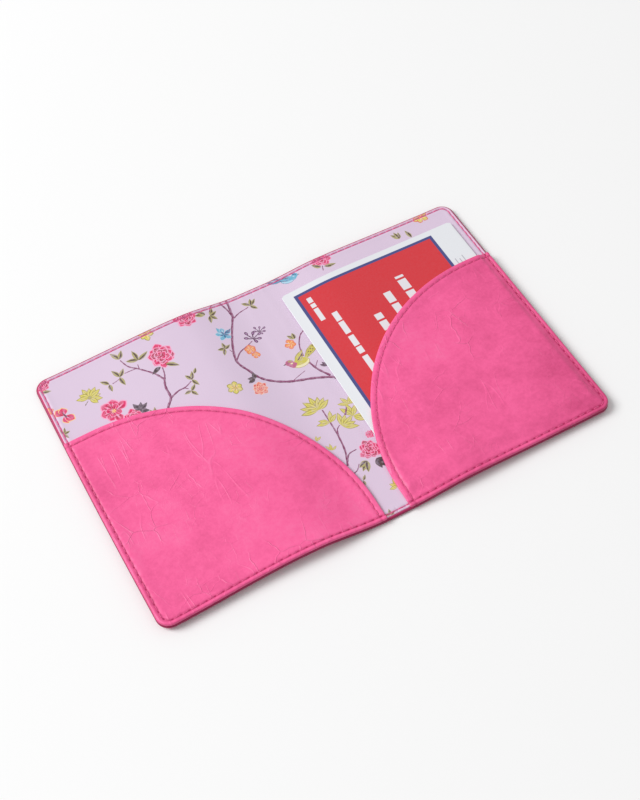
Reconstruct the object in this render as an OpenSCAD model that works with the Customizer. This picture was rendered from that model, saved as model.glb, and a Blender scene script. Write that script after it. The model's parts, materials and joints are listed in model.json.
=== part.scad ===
// Bifold passport holder wallet, lying open with a folded card in its right pocket.
//
// Frame: X runs across the open wallet, Y along the spine towards the pocket mouths, and Z is up.
// The origin is under the middle of the spine, on the surface that the wallet lies on.
// Each panel bows up a little between the spine and its outer edge, so every layer of a panel is a
// flat outline cut from a band that follows that bow. The left panel is a mirrored right panel.

/* [Panels] */
// Height of the wallet along the spine
wallet_h = 140; // [125:1:160]
// Width of one panel, from its crease to the outer edge
panel_w = 105; // [102:1:120]
// Width of the spine between its two creases
spine_w = 10.4; // [10:0.2:16]
// Radius of the four outer corners
corner_r = 6; // [5:0.5:10]

/* [Layers] */
// Thickness of the outer leather
cover_t = 1; // [0.8:0.1:1.4]
// Thickness of the stiffening board
board_t = 0.7; // [0.5:0.1:1]
// Thickness of the printed lining
lining_t = 0.4; // [0.3:0.1:0.6]
// Thickness of the pocket leather
pocket_t = 0.9; // [0.7:0.1:1]
// Width of the leather turned in along every edge
turned_w = 3.3; // [3:0.1:5]
// Inset of the lining from the edge of the cover
lining_inset = 0.4; // [0.2:0.1:0.8]

/* [Pockets] */
// Height of the pocket mouth above the bottom edge, at the outer side
mouth_h = 102; // [95:1:112]
// Radius of the curved pocket mouth
mouth_r = 92; // [80:1:95]
// Distance of the pocket from the crease, at the bottom edge
pocket_gap = 0.5; // [0.4:0.1:2]
// Space under the empty left pocket
slot_left = 0.55; // [0.5:0.05:0.7]
// Space under the right pocket, which holds the card
slot_right = 1.9; // [1.8:0.05:2]
// Width of the turned-under hem along the mouth
hem_w = 7; // [5:0.5:10]
// Thickness of the skived hem
hem_t = 0.4; // [0.3:0.1:0.4]

/* [Folded card] */
// Width of the folded card
card_w = 93.5; // [85:0.5:94]
// Length of the folded card
card_l = 118; // [110:1:123]
// Thickness of one leaf
leaf_t = 0.28; // [0.2:0.02:0.28]
// Distance from the top edge of the wallet to the top of the card
card_top_gap = 12.7; // [12.7:0.1:25]

/* [Stitching] */
// Pitch of the stitches
stitch_pitch = 3.9; // [3.6:0.1:5]
// Length of one stitch on the surface
stitch_l = 3; // [2:0.1:3]
// Width of the thread
thread_w = 0.5; // [0.3:0.1:0.6]
// Distance of the edge seam from the edge
seam_inset = 2.4; // [2:0.1:2.8]
// Distance of the hem seam from the pocket mouth
hem_seam_inset = 2.6; // [2.2:0.1:3]

/* [Resting shape] */
// Height of the bow in the left panel
bow_left = 3; // [0:0.1:3]
// Height of the bow in the right panel
bow_right = 2; // [0:0.1:2]
// Distance of the highest line of the bow from the middle of the spine
bow_at = 37; // [30:1:60]

/* [Hidden] */

crease_x = spine_w / 2;
edge_x = crease_x + panel_w;
half_h = wallet_h / 2;
split = 0.1;            // half of the gap between solids on the two sides of a crease
reach = 2 * edge_x;     // longer than anything that it cuts

board_z = cover_t;
lining_z = cover_t + board_t;
inside_z = lining_z + lining_t;

pocket_inset = 0.2;
pocket_x = crease_x + pocket_gap;
mouth_y = mouth_h - half_h;
mouth_centre = [pocket_x + mouth_r, mouth_y - mouth_r];

bow_from = crease_x + 2;
bow_steps = [8, 12];    // flats on the rising and the falling side of the bow

surface_gap = 0.05;     // air between a thread and the face that it lies on
thread_t = 0.2;
channel_w = 0.9;
channel_t = 0.35;

card_x = edge_x - 6.2 - card_w;
card_y = half_h - card_top_gap - card_l;
card_z = inside_z + 0.35; // clear of the stitches that the card slides over
leaf_gap = 0.03;
leaf_step = leaf_t + leaf_gap;
fold_w = 0.3;

leather = "#e8508c";
leather_dark = "#d64480";
lining = "#dcc6de";
thread = "#c22f6c";
board = "#b9a68c";
paper = "#f2f0f4";

// ---- The bow of a panel, as a height over x, for x measured from the spine outwards ----

function rising(x, bow) = bow * (1 - cos(180 * (x - bow_from) / (bow_at - bow_from))) / 2;
function falling(x, bow) = bow * (1 + cos(180 * (x - bow_at) / (edge_x - bow_at))) / 2;
function bow_curve(x, bow) =
    x <= bow_from || x >= edge_x ? 0 : x < bow_at ? rising(x, bow) : falling(x, bow);

bow_xs = concat(
    [0],
    [for (i = [0 : bow_steps[0]]) bow_from + (bow_at - bow_from) * i / bow_steps[0]],
    [for (i = [1 : bow_steps[1]]) bow_at + (edge_x - bow_at) * i / bow_steps[1]],
    [edge_x + 5]
);

// The same height on the flats between those stations.
function bow_z(x, bow) = lookup(x, [for (s = bow_xs) [s, bow_curve(s, bow)]]);
function bow_tilt(x, bow) = atan(bow_z(x + 0.5, bow) - bow_z(x - 0.5, bow));

// ---- Flat outlines of a right panel ----

// The panel, inset on its three outer sides and starting at x = from.
module panel_outline(inset, from) {
    r = corner_r - inset;
    x = edge_x - inset;
    y = half_h - inset;
    translate([from, -y]) square([x - r - from, 2 * y]);
    translate([x - r, r - y]) square([r, 2 * (y - r)]);
    for (side = [-1, 1]) translate([x - r, side * (y - r)]) circle(r, $fn = 64);
}

// Everything on the pocket's side of the mouth, shrunk from the mouth by inset.
module below_mouth(inset) {
    r = mouth_r - inset;
    translate(mouth_centre) circle(r, $fn = 180);
    translate([mouth_centre[0], -reach]) square([reach, reach + mouth_y - inset]);
    translate([mouth_centre[0] - r, -reach]) square([reach, reach + mouth_centre[1]]);
}

module pocket_outline() {
    intersection() {
        panel_outline(pocket_inset, pocket_x);
        below_mouth(0);
    }
}

// ---- Layers ----

// A sheet from z0 to z1 above the bow, cut to the flat outline given as its child.
module layer(z0, z1, bow) {
    xs = bow_xs;
    intersection() {
        rotate([90, 0, 0])
            linear_extrude(height = wallet_h + 20, center = true)
                polygon(concat(
                    [for (x = xs) [x, bow_curve(x, bow) + z0]],
                    [for (i = [len(xs) - 1 : -1 : 0]) [xs[i], bow_curve(xs[i], bow) + z1]]
                ));
        translate([0, 0, -1]) linear_extrude(height = 30) children();
    }
}

module on_side(side) {
    if (side > 0) children();
    else mirror([1, 0, 0]) children();
}

function bow_of(side) = side > 0 ? bow_right : bow_left;
function slot_of(side) = side > 0 ? slot_right : slot_left;
function pocket_z(side) = inside_z + slot_of(side);

// The outer leather with its edge turned in over the board, and the channel that its seam sinks into.
module cover(side) {
    color(leather) on_side(side) difference() {
        union() {
            layer(0, cover_t, bow_of(side)) panel_outline(0, crease_x + split);
            layer(cover_t, lining_z, bow_of(side)) difference() {
                panel_outline(0, crease_x + split);
                panel_outline(turned_w, crease_x);
            }
        }
        layer(-0.5, channel_t, bow_of(side)) difference() {
            panel_outline(seam_inset - channel_w / 2, crease_x);
            panel_outline(seam_inset + channel_w / 2, 0);
        }
    }
}

module stiffener(side) {
    color(board) on_side(side)
        layer(board_z, lining_z, bow_of(side)) panel_outline(turned_w + 0.2, crease_x + 1);
}

module inner_lining(side) {
    color(lining) on_side(side)
        layer(lining_z, inside_z, bow_of(side)) panel_outline(lining_inset, crease_x + split);
}

// The pocket's leather face, with a curved mouth from the outer side to the foot of the spine.
module pocket(side) {
    color(leather_dark) on_side(side)
        layer(pocket_z(side), pocket_z(side) + pocket_t, bow_of(side)) pocket_outline();
}

// The pocket's edge, turned under along the outer side, where it is sewn down.
module pocket_side_edge(side) {
    color(leather) on_side(side)
        layer(inside_z, pocket_z(side), bow_of(side)) intersection() {
            pocket_outline();
            translate([edge_x - pocket_inset - turned_w, -reach]) square([reach, 2 * reach]);
        }
}

// The same along the foot of the pocket, from the side edge to the spine.
module pocket_foot_edge(side) {
    color(leather) on_side(side)
        layer(inside_z, pocket_z(side), bow_of(side)) intersection() {
            pocket_outline();
            translate([-pocket_inset - turned_w, -half_h]) square([edge_x, pocket_inset + turned_w]);
        }
}

// The skived hem, turned under along the mouth.
module pocket_hem(side) {
    color(leather) on_side(side)
        layer(pocket_z(side) - hem_t, pocket_z(side), bow_of(side)) intersection() {
            difference() {
                pocket_outline();
                below_mouth(hem_w);
            }
            panel_outline(pocket_inset + turned_w + 0.1, 0);
        }
}

// ---- Seams: each stitch is a short bar on the surface ----

// A point and heading at distance s along the edge seam of a right panel, from the bottom crease
// out, up the outer side and back to the top crease.
seam_r = corner_r - seam_inset;
seam_y = half_h - seam_inset;
seam_x = edge_x - seam_inset;
seam_from = crease_x + 0.6;
run_out = seam_x - seam_r - seam_from;
run_up = 2 * (seam_y - seam_r);
bend = PI * seam_r / 2;
seam_length = 2 * run_out + run_up + 2 * bend;

function seam_at(s) =
    s < run_out ? [seam_from + s, -seam_y, 0]
    : s < run_out + bend ? corner_at((s - run_out) / seam_r, [seam_x - seam_r, seam_r - seam_y], -90)
    : s < run_out + bend + run_up ? [seam_x, seam_r - seam_y + s - run_out - bend, 90]
    : s < run_out + 2 * bend + run_up
        ? corner_at((s - run_out - bend - run_up) / seam_r, [seam_x - seam_r, seam_y - seam_r], 0)
    : [seam_x - seam_r - (s - run_out - 2 * bend - run_up), seam_y, 180];

function corner_at(turn, centre, from) =
    let (a = from + turn * 180 / PI)
    [centre[0] + seam_r * cos(a), centre[1] + seam_r * sin(a), a + 90];

// The same along the hem, from the outer side to the bottom edge.
hem_r = mouth_r - hem_seam_inset;
hem_flat = edge_x - turned_w - 1.5 - mouth_centre[0];
hem_arc = PI * hem_r / 2;
hem_drop = mouth_centre[1] + seam_y - 1.5;
hem_length = hem_flat + hem_arc + hem_drop;

function hem_at(s) =
    s < hem_flat ? [mouth_centre[0] + hem_flat - s, mouth_centre[1] + hem_r, 180]
    : s < hem_flat + hem_arc
        ? let (a = 90 + (s - hem_flat) / hem_r * 180 / PI)
          [mouth_centre[0] + hem_r * cos(a), mouth_centre[1] + hem_r * sin(a), a + 90]
    : [mouth_centre[0] - hem_r, mouth_centre[1] - (s - hem_flat - hem_arc), 270];

// True for a seam point that lies on the pocket rather than on the lining.
function over_pocket(p) = p[1] < (p[0] > mouth_centre[0] ? mouth_y + stitch_l / 2 + 0.2 : 0);

module stitch(p, z, bow) {
    translate([p[0], p[1], bow_z(p[0], bow) + z])
        rotate([0, -bow_tilt(p[0], bow), 0])
            rotate([0, 0, p[2]])
                cube([stitch_l, thread_w, thread_t], center = true);
}

function stitch_count(length) = floor(length / stitch_pitch);
function stitch_s(i, length) = (i + 0.5) * length / stitch_count(length);

module needle_thread(side) {
    color(thread) on_side(side)
        for (i = [0 : stitch_count(seam_length) - 1]) {
            p = seam_at(stitch_s(i, seam_length));
            face = over_pocket(p) ? pocket_z(side) + pocket_t : inside_z;
            stitch(p, face + surface_gap + thread_t / 2, bow_of(side));
        }
}

module bobbin_thread(side) {
    color(thread) on_side(side)
        for (i = [0 : stitch_count(seam_length) - 1])
            stitch(seam_at(stitch_s(i, seam_length)), surface_gap + thread_t / 2, bow_of(side));
}

module hem_thread(side) {
    color(thread) on_side(side)
        for (i = [0 : stitch_count(hem_length) - 1])
            stitch(
                hem_at(stitch_s(i, hem_length)),
                pocket_z(side) + pocket_t + surface_gap + thread_t / 2,
                bow_of(side)
            );
}

// ---- Spine ----

spine_half = crease_x - split;

module cover_spine() {
    color(leather) difference() {
        union() {
            translate([-spine_half, -half_h, 0]) cube([2 * spine_half, wallet_h, cover_t]);
            for (end = [0, 1]) mirror([0, end, 0])
                translate([-spine_half, half_h - turned_w, 0])
                    cube([2 * spine_half, turned_w, lining_z]);
        }
        for (end = [-1, 1])
            translate([-spine_w, end * seam_y - channel_w / 2, -1])
                cube([2 * spine_w, channel_w, 1 + channel_t]);
    }
}

module spine_tape() {
    tape_h = wallet_h - 2 * turned_w - 0.4;
    color(board) translate([-spine_half + 0.5, -tape_h / 2, cover_t])
        cube([2 * spine_half - 1, tape_h, board_t]);
}

module lining_spine() {
    color(lining) translate([-spine_half, -half_h + lining_inset, lining_z])
        cube([2 * spine_half, wallet_h - 2 * lining_inset, lining_t]);
}

module spine_stitches(z) {
    color(thread)
        for (end = [-1, 1], i = [-0.5, 0.5])
            stitch([i * stitch_pitch, end * seam_y, 0], z + surface_gap + thread_t / 2, 0);
}

// ---- The folded card: three leaves in a Z, with one fold at each side ----

module card_outline(x0, x1) {
    translate([x0, card_y]) square([x1 - x0, card_l]);
}

module insert_card() {
    x1 = card_x + card_w;
    color(paper) union() {
        for (i = [0 : 2])
            layer(card_z + i * leaf_step, card_z + i * leaf_step + leaf_t, bow_right)
                card_outline(card_x + (i == 2 ? 0.5 : 0), x1);
        layer(card_z, card_z + leaf_step + leaf_t, bow_right)
            card_outline(card_x, card_x + fold_w);
        layer(card_z + leaf_step, card_z + 2 * leaf_step + leaf_t, bow_right)
            card_outline(x1 - fold_w, x1);
    }
}

cover(-1);  // cover_left
stiffener(-1);  // board_left
inner_lining(-1);  // lining_left
pocket(-1);  // pocket_left
pocket_side_edge(-1);  // pocket_side_edge_left
pocket_foot_edge(-1);  // pocket_foot_edge_left
pocket_hem(-1);  // pocket_hem_left
needle_thread(-1);  // needle_thread_left
bobbin_thread(-1);  // bobbin_thread_left
hem_thread(-1);  // hem_thread_left
cover_spine();
spine_tape();
lining_spine();
spine_stitches(inside_z);  // needle_thread_spine
spine_stitches(0);  // bobbin_thread_spine
cover(1);  // cover_right
stiffener(1);  // board_right
inner_lining(1);  // lining_right
pocket(1);  // pocket_right
pocket_side_edge(1);  // pocket_side_edge_right
pocket_foot_edge(1);  // pocket_foot_edge_right
pocket_hem(1);  // pocket_hem_right
needle_thread(1);  // needle_thread_right
bobbin_thread(1);  // bobbin_thread_right
hem_thread(1);  // hem_thread_right
insert_card();
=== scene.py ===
import json
import math

import bpy
import numpy as np
from mathutils import Matrix, Vector
from mathutils.geometry import delaunay_2d_cdt


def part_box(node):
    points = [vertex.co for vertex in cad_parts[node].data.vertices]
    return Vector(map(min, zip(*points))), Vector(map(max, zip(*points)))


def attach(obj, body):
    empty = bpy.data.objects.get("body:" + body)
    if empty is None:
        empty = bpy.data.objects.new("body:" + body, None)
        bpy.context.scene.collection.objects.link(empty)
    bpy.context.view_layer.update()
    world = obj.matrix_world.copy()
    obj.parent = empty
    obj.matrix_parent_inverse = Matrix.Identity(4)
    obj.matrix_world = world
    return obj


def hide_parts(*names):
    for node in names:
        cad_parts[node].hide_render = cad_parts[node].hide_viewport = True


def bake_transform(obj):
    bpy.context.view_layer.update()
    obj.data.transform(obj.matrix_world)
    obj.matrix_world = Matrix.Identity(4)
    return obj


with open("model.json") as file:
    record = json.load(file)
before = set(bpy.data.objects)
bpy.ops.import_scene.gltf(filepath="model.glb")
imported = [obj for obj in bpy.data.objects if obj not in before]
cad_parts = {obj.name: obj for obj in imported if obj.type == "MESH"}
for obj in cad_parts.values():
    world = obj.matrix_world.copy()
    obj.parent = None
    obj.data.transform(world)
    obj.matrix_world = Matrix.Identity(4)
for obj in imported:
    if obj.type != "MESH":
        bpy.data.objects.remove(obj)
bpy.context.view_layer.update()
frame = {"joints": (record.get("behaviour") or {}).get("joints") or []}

MM = 0.001

# ---- Outer leather ----
# One sheet of pink leather-look material covers both panels and the spine, with its edge turned in
# over the board, which makes the rounded rim. It is built in two halves that meet mid-spine. Its
# surface is satin, clouded in tone and finely creased.
FOLD = {joint["name"]: joint for joint in frame["joints"]}
CREASE_X, _, HINGE_Z = FOLD["right_fold"]["pos_m"]
EDGE_X, EDGE_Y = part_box("cover_right")[1].x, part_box("cover_right")[1].y
RIM_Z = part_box("cover_spine")[1].z
CORNER_R = 6 * MM
RIM_ROUND = 0.85 * MM
TURNED_IN = 3.3 * MM

# The shape in which the open wallet lies, which every layer follows: the spine and the outer edges
# touch the table and each panel bows up between them, because the creases don't lie quite flat.
BOW_LEFT = 1.05 * (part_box("cover_left")[1].z - RIM_Z)
BOW_RIGHT = 1.08 * (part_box("cover_right")[1].z - RIM_Z)
BOW_FROM = CREASE_X + 2 * MM
BOW_AT = 37 * MM
SIDE_BOW = 1.1 * MM
FOOT_DRAW = 1.5 * MM


def smooth(a, b, v):
    """0 below a, 1 above b, and a smooth step (3t^2 - 2t^3) in between."""
    t = np.clip((v - a) / (b - a), 0, 1)
    return t * t * (3 - 2 * t)


def rest(x, y):
    """Height of the table side of the wallet: on each panel half a cosine wave up from the crease to
    the top of the bow, half a wave down to the outer edge, and a slow lift of the outer corners."""
    out = np.abs(x)
    bow = np.where(x < 0, BOW_LEFT, BOW_RIGHT)
    wave = smooth(BOW_FROM, BOW_AT, out) * (1 - smooth(BOW_AT, EDGE_X, out))
    bow = bow * wave * (1 + np.where(x < 0, 0.06, 0.03) * y / EDGE_Y)
    far = smooth(0.5 * EDGE_X, EDGE_X, out)
    lift = np.where(x < 0, 1.3 * smooth(EDGE_Y, -EDGE_Y, y), 0.9 - 0.2 * y / EDGE_Y)
    return bow + far * lift * MM


def relaxed(x, y):
    """Where a point of the flat wallet ends up. The left panel's outer side bows out by a millimetre,
    most at its middle, and its foot draws in between corner and spine, most half way."""
    out = SIDE_BOW * smooth(0.15 * EDGE_X, EDGE_X, -x) * (1 - 0.6 * (y / EDGE_Y) ** 2)
    half_way = np.sin(math.pi * np.clip(-x / EDGE_X, 0, 1)) ** 2
    return x - out, y + FOOT_DRAW * half_way * smooth(0, EDGE_Y, -y)


def inset(x, y):
    """Distance inwards from the wallet's outline, a rectangle with rounded corners."""
    qx = np.abs(x) - (EDGE_X - CORNER_R)
    qy = np.abs(y) - (EDGE_Y - CORNER_R)
    outside = np.hypot(np.maximum(qx, 0), np.maximum(qy, 0))
    return CORNER_R - outside - np.minimum(np.maximum(qx, qy), 0)


def round_edge(d, radius):
    """A quarter circle: 0 at the very edge, rising to 1 at the given distance from it."""
    return np.sqrt(1 - (1 - np.clip(d / radius, 0.02, 1)) ** 2)


def dip(d, width):
    """A soft groove's cross-section: 1 on its line and 0 away from it."""
    return np.exp(-((d / width) ** 2))


# One lockstitch seam runs round the whole wallet, a little in from the edge, and puckers the leather.
# Its needle holes are evenly spaced from the middle of each outer side to the middle of the spine.
STITCH_LONG = 3.9 * MM
SEAM_IN = 2.4 * MM
SEAM_R = CORNER_R - SEAM_IN
SIDE_RUN = EDGE_Y - CORNER_R
BEND_RUN = SEAM_R * math.pi / 2
QUARTER_RUN = SIDE_RUN + BEND_RUN + EDGE_X - CORNER_R
STITCHES = round(QUARTER_RUN / STITCH_LONG)
PITCH = QUARTER_RUN / STITCHES


def seam_run(x, y):
    """Length of seam between the middle of the outer side and the point of the seam nearest (x, y)."""
    out, up = np.abs(x), np.abs(y)
    turn = np.arctan2(up - SIDE_RUN, out - (EDGE_X - CORNER_R))
    round_it = SIDE_RUN + SEAM_R * np.clip(turn, 0, math.pi / 2)
    along_top = SIDE_RUN + BEND_RUN + (EDGE_X - CORNER_R - out)
    beside = np.where(EDGE_X - out < EDGE_Y - up, np.minimum(up, SIDE_RUN), along_top)
    corner = (out > EDGE_X - CORNER_R) & (up > SIDE_RUN)
    return np.where(corner, round_it, beside)


def seam_point(run):
    """The point of the seam at a run from the middle of the outer side, in the first quarter, and its
    heading: straight up the side, round the corner, then straight in towards the spine."""
    turn = np.clip((run - SIDE_RUN) / SEAM_R, 0, math.pi / 2)
    x = EDGE_X - CORNER_R + SEAM_R * np.cos(turn)
    y = np.minimum(run, SIDE_RUN) + SEAM_R * np.sin(turn)
    x = x - np.maximum(run - SIDE_RUN - BEND_RUN, 0)
    return x, y, turn + math.pi / 2


def puckers(x, y):
    """Ripples along the seam: the leather stands up between the needle holes and dips at each."""
    return -np.cos(2 * math.pi * seam_run(x, y) / PITCH)


def grid_faces(rows, columns):
    """The quads of a rows x columns grid of points."""
    at = np.arange(rows * columns).reshape(rows, columns)
    quads = np.stack([at[:-1, :-1], at[1:, :-1], at[1:, 1:], at[:-1, 1:]], -1)
    return quads.reshape(-1, 4)


def add_piece(name, points, faces, material, sharp=50):
    """A mesh object from an array of points and a list of arrays of faces, smooth but for its
    sharp corners."""
    mesh = bpy.data.meshes.new(name)
    mesh.from_pydata(points.tolist(), [], [face for group in faces for face in group.tolist()])
    mesh.shade_smooth()
    mesh.set_sharp_from_angle(angle=math.radians(sharp))
    mesh.materials.append(material)
    piece = bpy.data.objects.new(name, mesh)
    bpy.context.scene.collection.objects.link(piece)
    return piece


def solid_from_plan(name, x, y, faces, top, bottom, material):
    """A piece that was cut flat: two copies of its plan, at the heights top and bottom, the lower one
    turned over, and a wall of quads down from each edge that only one face of the plan uses."""
    first = faces[0]
    turn = np.cross(
        [x[first[1]] - x[first[0]], y[first[1]] - y[first[0]]],
        [x[first[2]] - x[first[0]], y[first[2]] - y[first[0]]],
    )
    if turn < 0:
        faces = faces[:, ::-1]
    count = len(x)
    a = faces.ravel()
    b = np.roll(faces, -1, axis=1).ravel()
    rim = ~np.isin(a.astype(np.int64) * count + b, b.astype(np.int64) * count + a)
    wall = np.stack([b[rim], a[rim], a[rim] + count, b[rim] + count], -1)
    x, y = relaxed(x, y)
    points = np.concatenate([np.stack([x, y, top], -1), np.stack([x, y, bottom], -1)])
    return add_piece(name, points, [faces, faces[:, ::-1] + count, wall], material)


def give(piece, name, values, kind="FLOAT", domain="POINT"):
    """Stores one number, or one colour, for each point or face of a piece."""
    layer = piece.data.attributes.new(name, kind, domain)
    field = "color" if kind == "FLOAT_COLOR" else "value"
    layer.data.foreach_set(field, np.asarray(values, np.float32).ravel())


def crowded(low, high, count, crowding, ends="both"):
    """Stations from low to high that crowd towards the ends: a blend of even spacing with the
    spacing of a cosine, so that rounded edges and seams get many and the middle few."""
    t = np.linspace(0, 1, count)
    if ends == "both":
        crowd = (1 - np.cos(math.pi * t)) / 2
    else:
        crowd = np.sin(math.pi * t / 2)
    return low + (high - low) * (crowding * crowd + (1 - crowding) * t)


def panel_plan(side, first_x, gap, columns, rows):
    """A panel from x = first_x to its outer edge, shrunk by gap: rows of points from the foot to the
    top, each as long as the rounded outline is wide at that height."""
    radius = CORNER_R - gap
    v = crowded(-(EDGE_Y - gap), EDGE_Y - gap, rows, 0.85)
    u = crowded(0, 1, columns, 0.8, "far")
    into = np.maximum(np.abs(v) - (EDGE_Y - gap - radius), 0)
    wide = EDGE_X - gap - radius + np.sqrt(np.maximum(radius**2 - into**2, 0))
    x = first_x + u[:, None] * (wide - first_x)
    y = np.broadcast_to(v, x.shape)
    return side * x.ravel(), y.ravel(), grid_faces(columns, rows)


# The leather's pinks: its body, where the seams press it deep, with painted shade in the seam's groove,
# where it is rubbed pale, its very edge, darkened as painted shade of the rim's side, and the inside
# of a needle hole, darkened as painted shade.
PINK = (0.950, 0.120, 0.335)
PINK_DEEP = (0.420, 0.016, 0.100)
PINK_PALE = (1.0, 0.270, 0.500)
EDGE_SHADE_PINK = (0.300, 0.006, 0.070)
HOLE_SHADE_PINK = (0.44, 0.001, 0.085)


def add(tree, kind, values=None, **settings):
    """Adds a node, sets its properties, and fills or connects its inputs."""
    made = tree.nodes.new(kind)
    for key, value in settings.items():
        setattr(made, key, value)
    for key, value in (values or {}).items():
        if isinstance(value, bpy.types.NodeSocket):
            tree.links.new(value, made.inputs[key])
        else:
            made.inputs[key].default_value = value
    return made


def math_node(tree, operation, a, b=0.0, c=0.0):
    """One sum, and its result."""
    return add(tree, "ShaderNodeMath", {0: a, 1: b, 2: c}, operation=operation).outputs[0]


def mix(tree, factor, a, b, blend_type="MIX"):
    """Two colours mixed, and the colour that results."""
    made = add(
        tree, "ShaderNodeMix", {0: factor, 6: a, 7: b}, data_type="RGBA", blend_type=blend_type
    )
    return made.outputs[2]


def step_up(tree, value, low, high):
    """0 below low, 1 above high, smooth between."""
    made = add(
        tree,
        "ShaderNodeMapRange",
        {"Value": value, "From Min": low, "From Max": high},
        interpolation_type="SMOOTHSTEP",
    )
    return made.outputs[0]


def new_group(name, inputs, outputs):
    """A shader node group with named sockets, and its input and output nodes."""
    tree = bpy.data.node_groups.new(name, "ShaderNodeTree")
    for label, kind, value in inputs:
        socket = tree.interface.new_socket(label, in_out="INPUT", socket_type="NodeSocket" + kind)
        if value is not None:
            socket.default_value = value
    for label, kind in outputs:
        tree.interface.new_socket(label, in_out="OUTPUT", socket_type="NodeSocket" + kind)
    return tree, tree.nodes.new("NodeGroupInput"), tree.nodes.new("NodeGroupOutput")


def noise(tree, place, scale, detail, roughness=0.5, distortion=0.0):
    """A noise texture, with its scale in lumps to the metre."""
    values = {"Vector": place, "Scale": scale, "Detail": detail}
    values.update({"Roughness": roughness, "Distortion": distortion})
    return add(tree, "ShaderNodeTexNoise", values)


def new_material(name):
    """A material, its node tree and its shader."""
    material = bpy.data.materials.new(name)
    material.use_nodes = True
    return material, material.node_tree, material.node_tree.nodes["Principled BSDF"]


def emboss(tree, shader, height, distance):
    """Gives the shader a relief, on top of any relief that it already has."""
    bump = add(tree, "ShaderNodeBump", {"Height": height, "Distance": distance})
    for link in shader.inputs["Normal"].links:
        tree.links.new(link.from_socket, bump.inputs["Normal"])
    tree.links.new(bump.outputs[0], shader.inputs["Normal"])


def make_leather_group():
    """Leather grain: clouds of tone at three sizes, creases along the borders of distorted cells, long
    scratches from stretched noise, and a fine pebble. Tone is 0 deep to 1 pale. Height is in mm."""
    tree, given, result = new_group(
        "leather grain",
        [("Vector", "Vector", None), ("Creases", "Float", 1.0), ("Pebble", "Float", 1.0)],
        [("Tone", "Float"), ("Height", "Float"), ("Roughness", "Float")],
    )
    place = given.outputs["Vector"]
    cloud = noise(tree, place, 34, 3, distortion=0.7)
    cloudlet = noise(tree, place, 150, 4, roughness=0.6)
    speck = noise(tree, place, 620, 4, roughness=0.75)
    tone = 0.365
    for patches, strength in ((cloud, 0.09), (cloudlet, 0.08), (speck, 0.09)):
        patch = step_up(tree, patches.outputs[0], 0.3, 0.7)
        tone = math_node(tree, "MULTIPLY_ADD", patch, strength, tone)

    warp = add(
        tree,
        "ShaderNodeVectorMath",
        {0: noise(tree, place, 90, 2).outputs["Color"], 1: (6 * MM, 6 * MM, 6 * MM), 2: place},
        operation="MULTIPLY_ADD",
    )
    height = 0.0
    lines = 0.0
    creases = ((75, 0.020, 42, 0.13), (210, 0.036, 64, 0.06), (560, 0.07, 88, 0.025))
    for scale, width, patch, deep in creases:
        cells = add(
            tree,
            "ShaderNodeTexVoronoi",
            {"Vector": warp.outputs[0], "Scale": scale},
            feature="DISTANCE_TO_EDGE",
        )
        line = math_node(tree, "SUBTRACT", 1.0, step_up(tree, cells.outputs[0], 0.0, width))
        where = step_up(tree, noise(tree, place, patch, 2).outputs[0], 0.5, 0.68)
        line = math_node(tree, "MULTIPLY", line, where)
        height = math_node(tree, "MULTIPLY_ADD", line, deep, height)
        lines = math_node(tree, "MAXIMUM", lines, math_node(tree, "MULTIPLY", line, 4 * deep))

    for angle, scale in ((0.6, 60), (1.3, 75), (2.3, 85)):
        stretch = {"Vector": place, "Rotation": (0, 0, angle), "Scale": (1, 0.22, 1)}
        along = add(tree, "ShaderNodeMapping", stretch)
        streak = noise(tree, along.outputs[0], scale, 1)
        ridge = math_node(tree, "ABSOLUTE", math_node(tree, "SUBTRACT", streak.outputs[0], 0.5))
        ridge = math_node(tree, "SUBTRACT", 1.0, step_up(tree, ridge, 0.0, 0.010))
        where = step_up(tree, noise(tree, place, 48, 1).outputs[0], 0.53, 0.63)
        ridge = math_node(tree, "MULTIPLY", ridge, where)
        height = math_node(tree, "MULTIPLY_ADD", ridge, 0.07, height)
        lines = math_node(tree, "MAXIMUM", lines, math_node(tree, "MULTIPLY", ridge, 0.4))

    lines = math_node(tree, "MULTIPLY", lines, given.outputs["Creases"])
    height = math_node(tree, "MULTIPLY", height, given.outputs["Creases"])
    pebble = add(tree, "ShaderNodeTexVoronoi", {"Vector": place, "Scale": 1500}, feature="SMOOTH_F1")
    fine = math_node(tree, "MULTIPLY", pebble.outputs[0], given.outputs["Pebble"])
    height = math_node(tree, "MULTIPLY_ADD", fine, 0.010, height)
    height = math_node(tree, "MULTIPLY_ADD", cloudlet.outputs[0], 0.16, height)
    height = math_node(tree, "MULTIPLY_ADD", speck.outputs[0], 0.03, height)
    tone = math_node(tree, "MULTIPLY_ADD", lines, 0.11, tone)
    rough = math_node(tree, "MULTIPLY_ADD", speck.outputs[0], 0.16, 0.34)
    tree.links.new(tone, result.inputs["Tone"])
    tree.links.new(height, result.inputs["Height"])
    tree.links.new(rough, result.inputs["Roughness"])
    return tree


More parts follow.
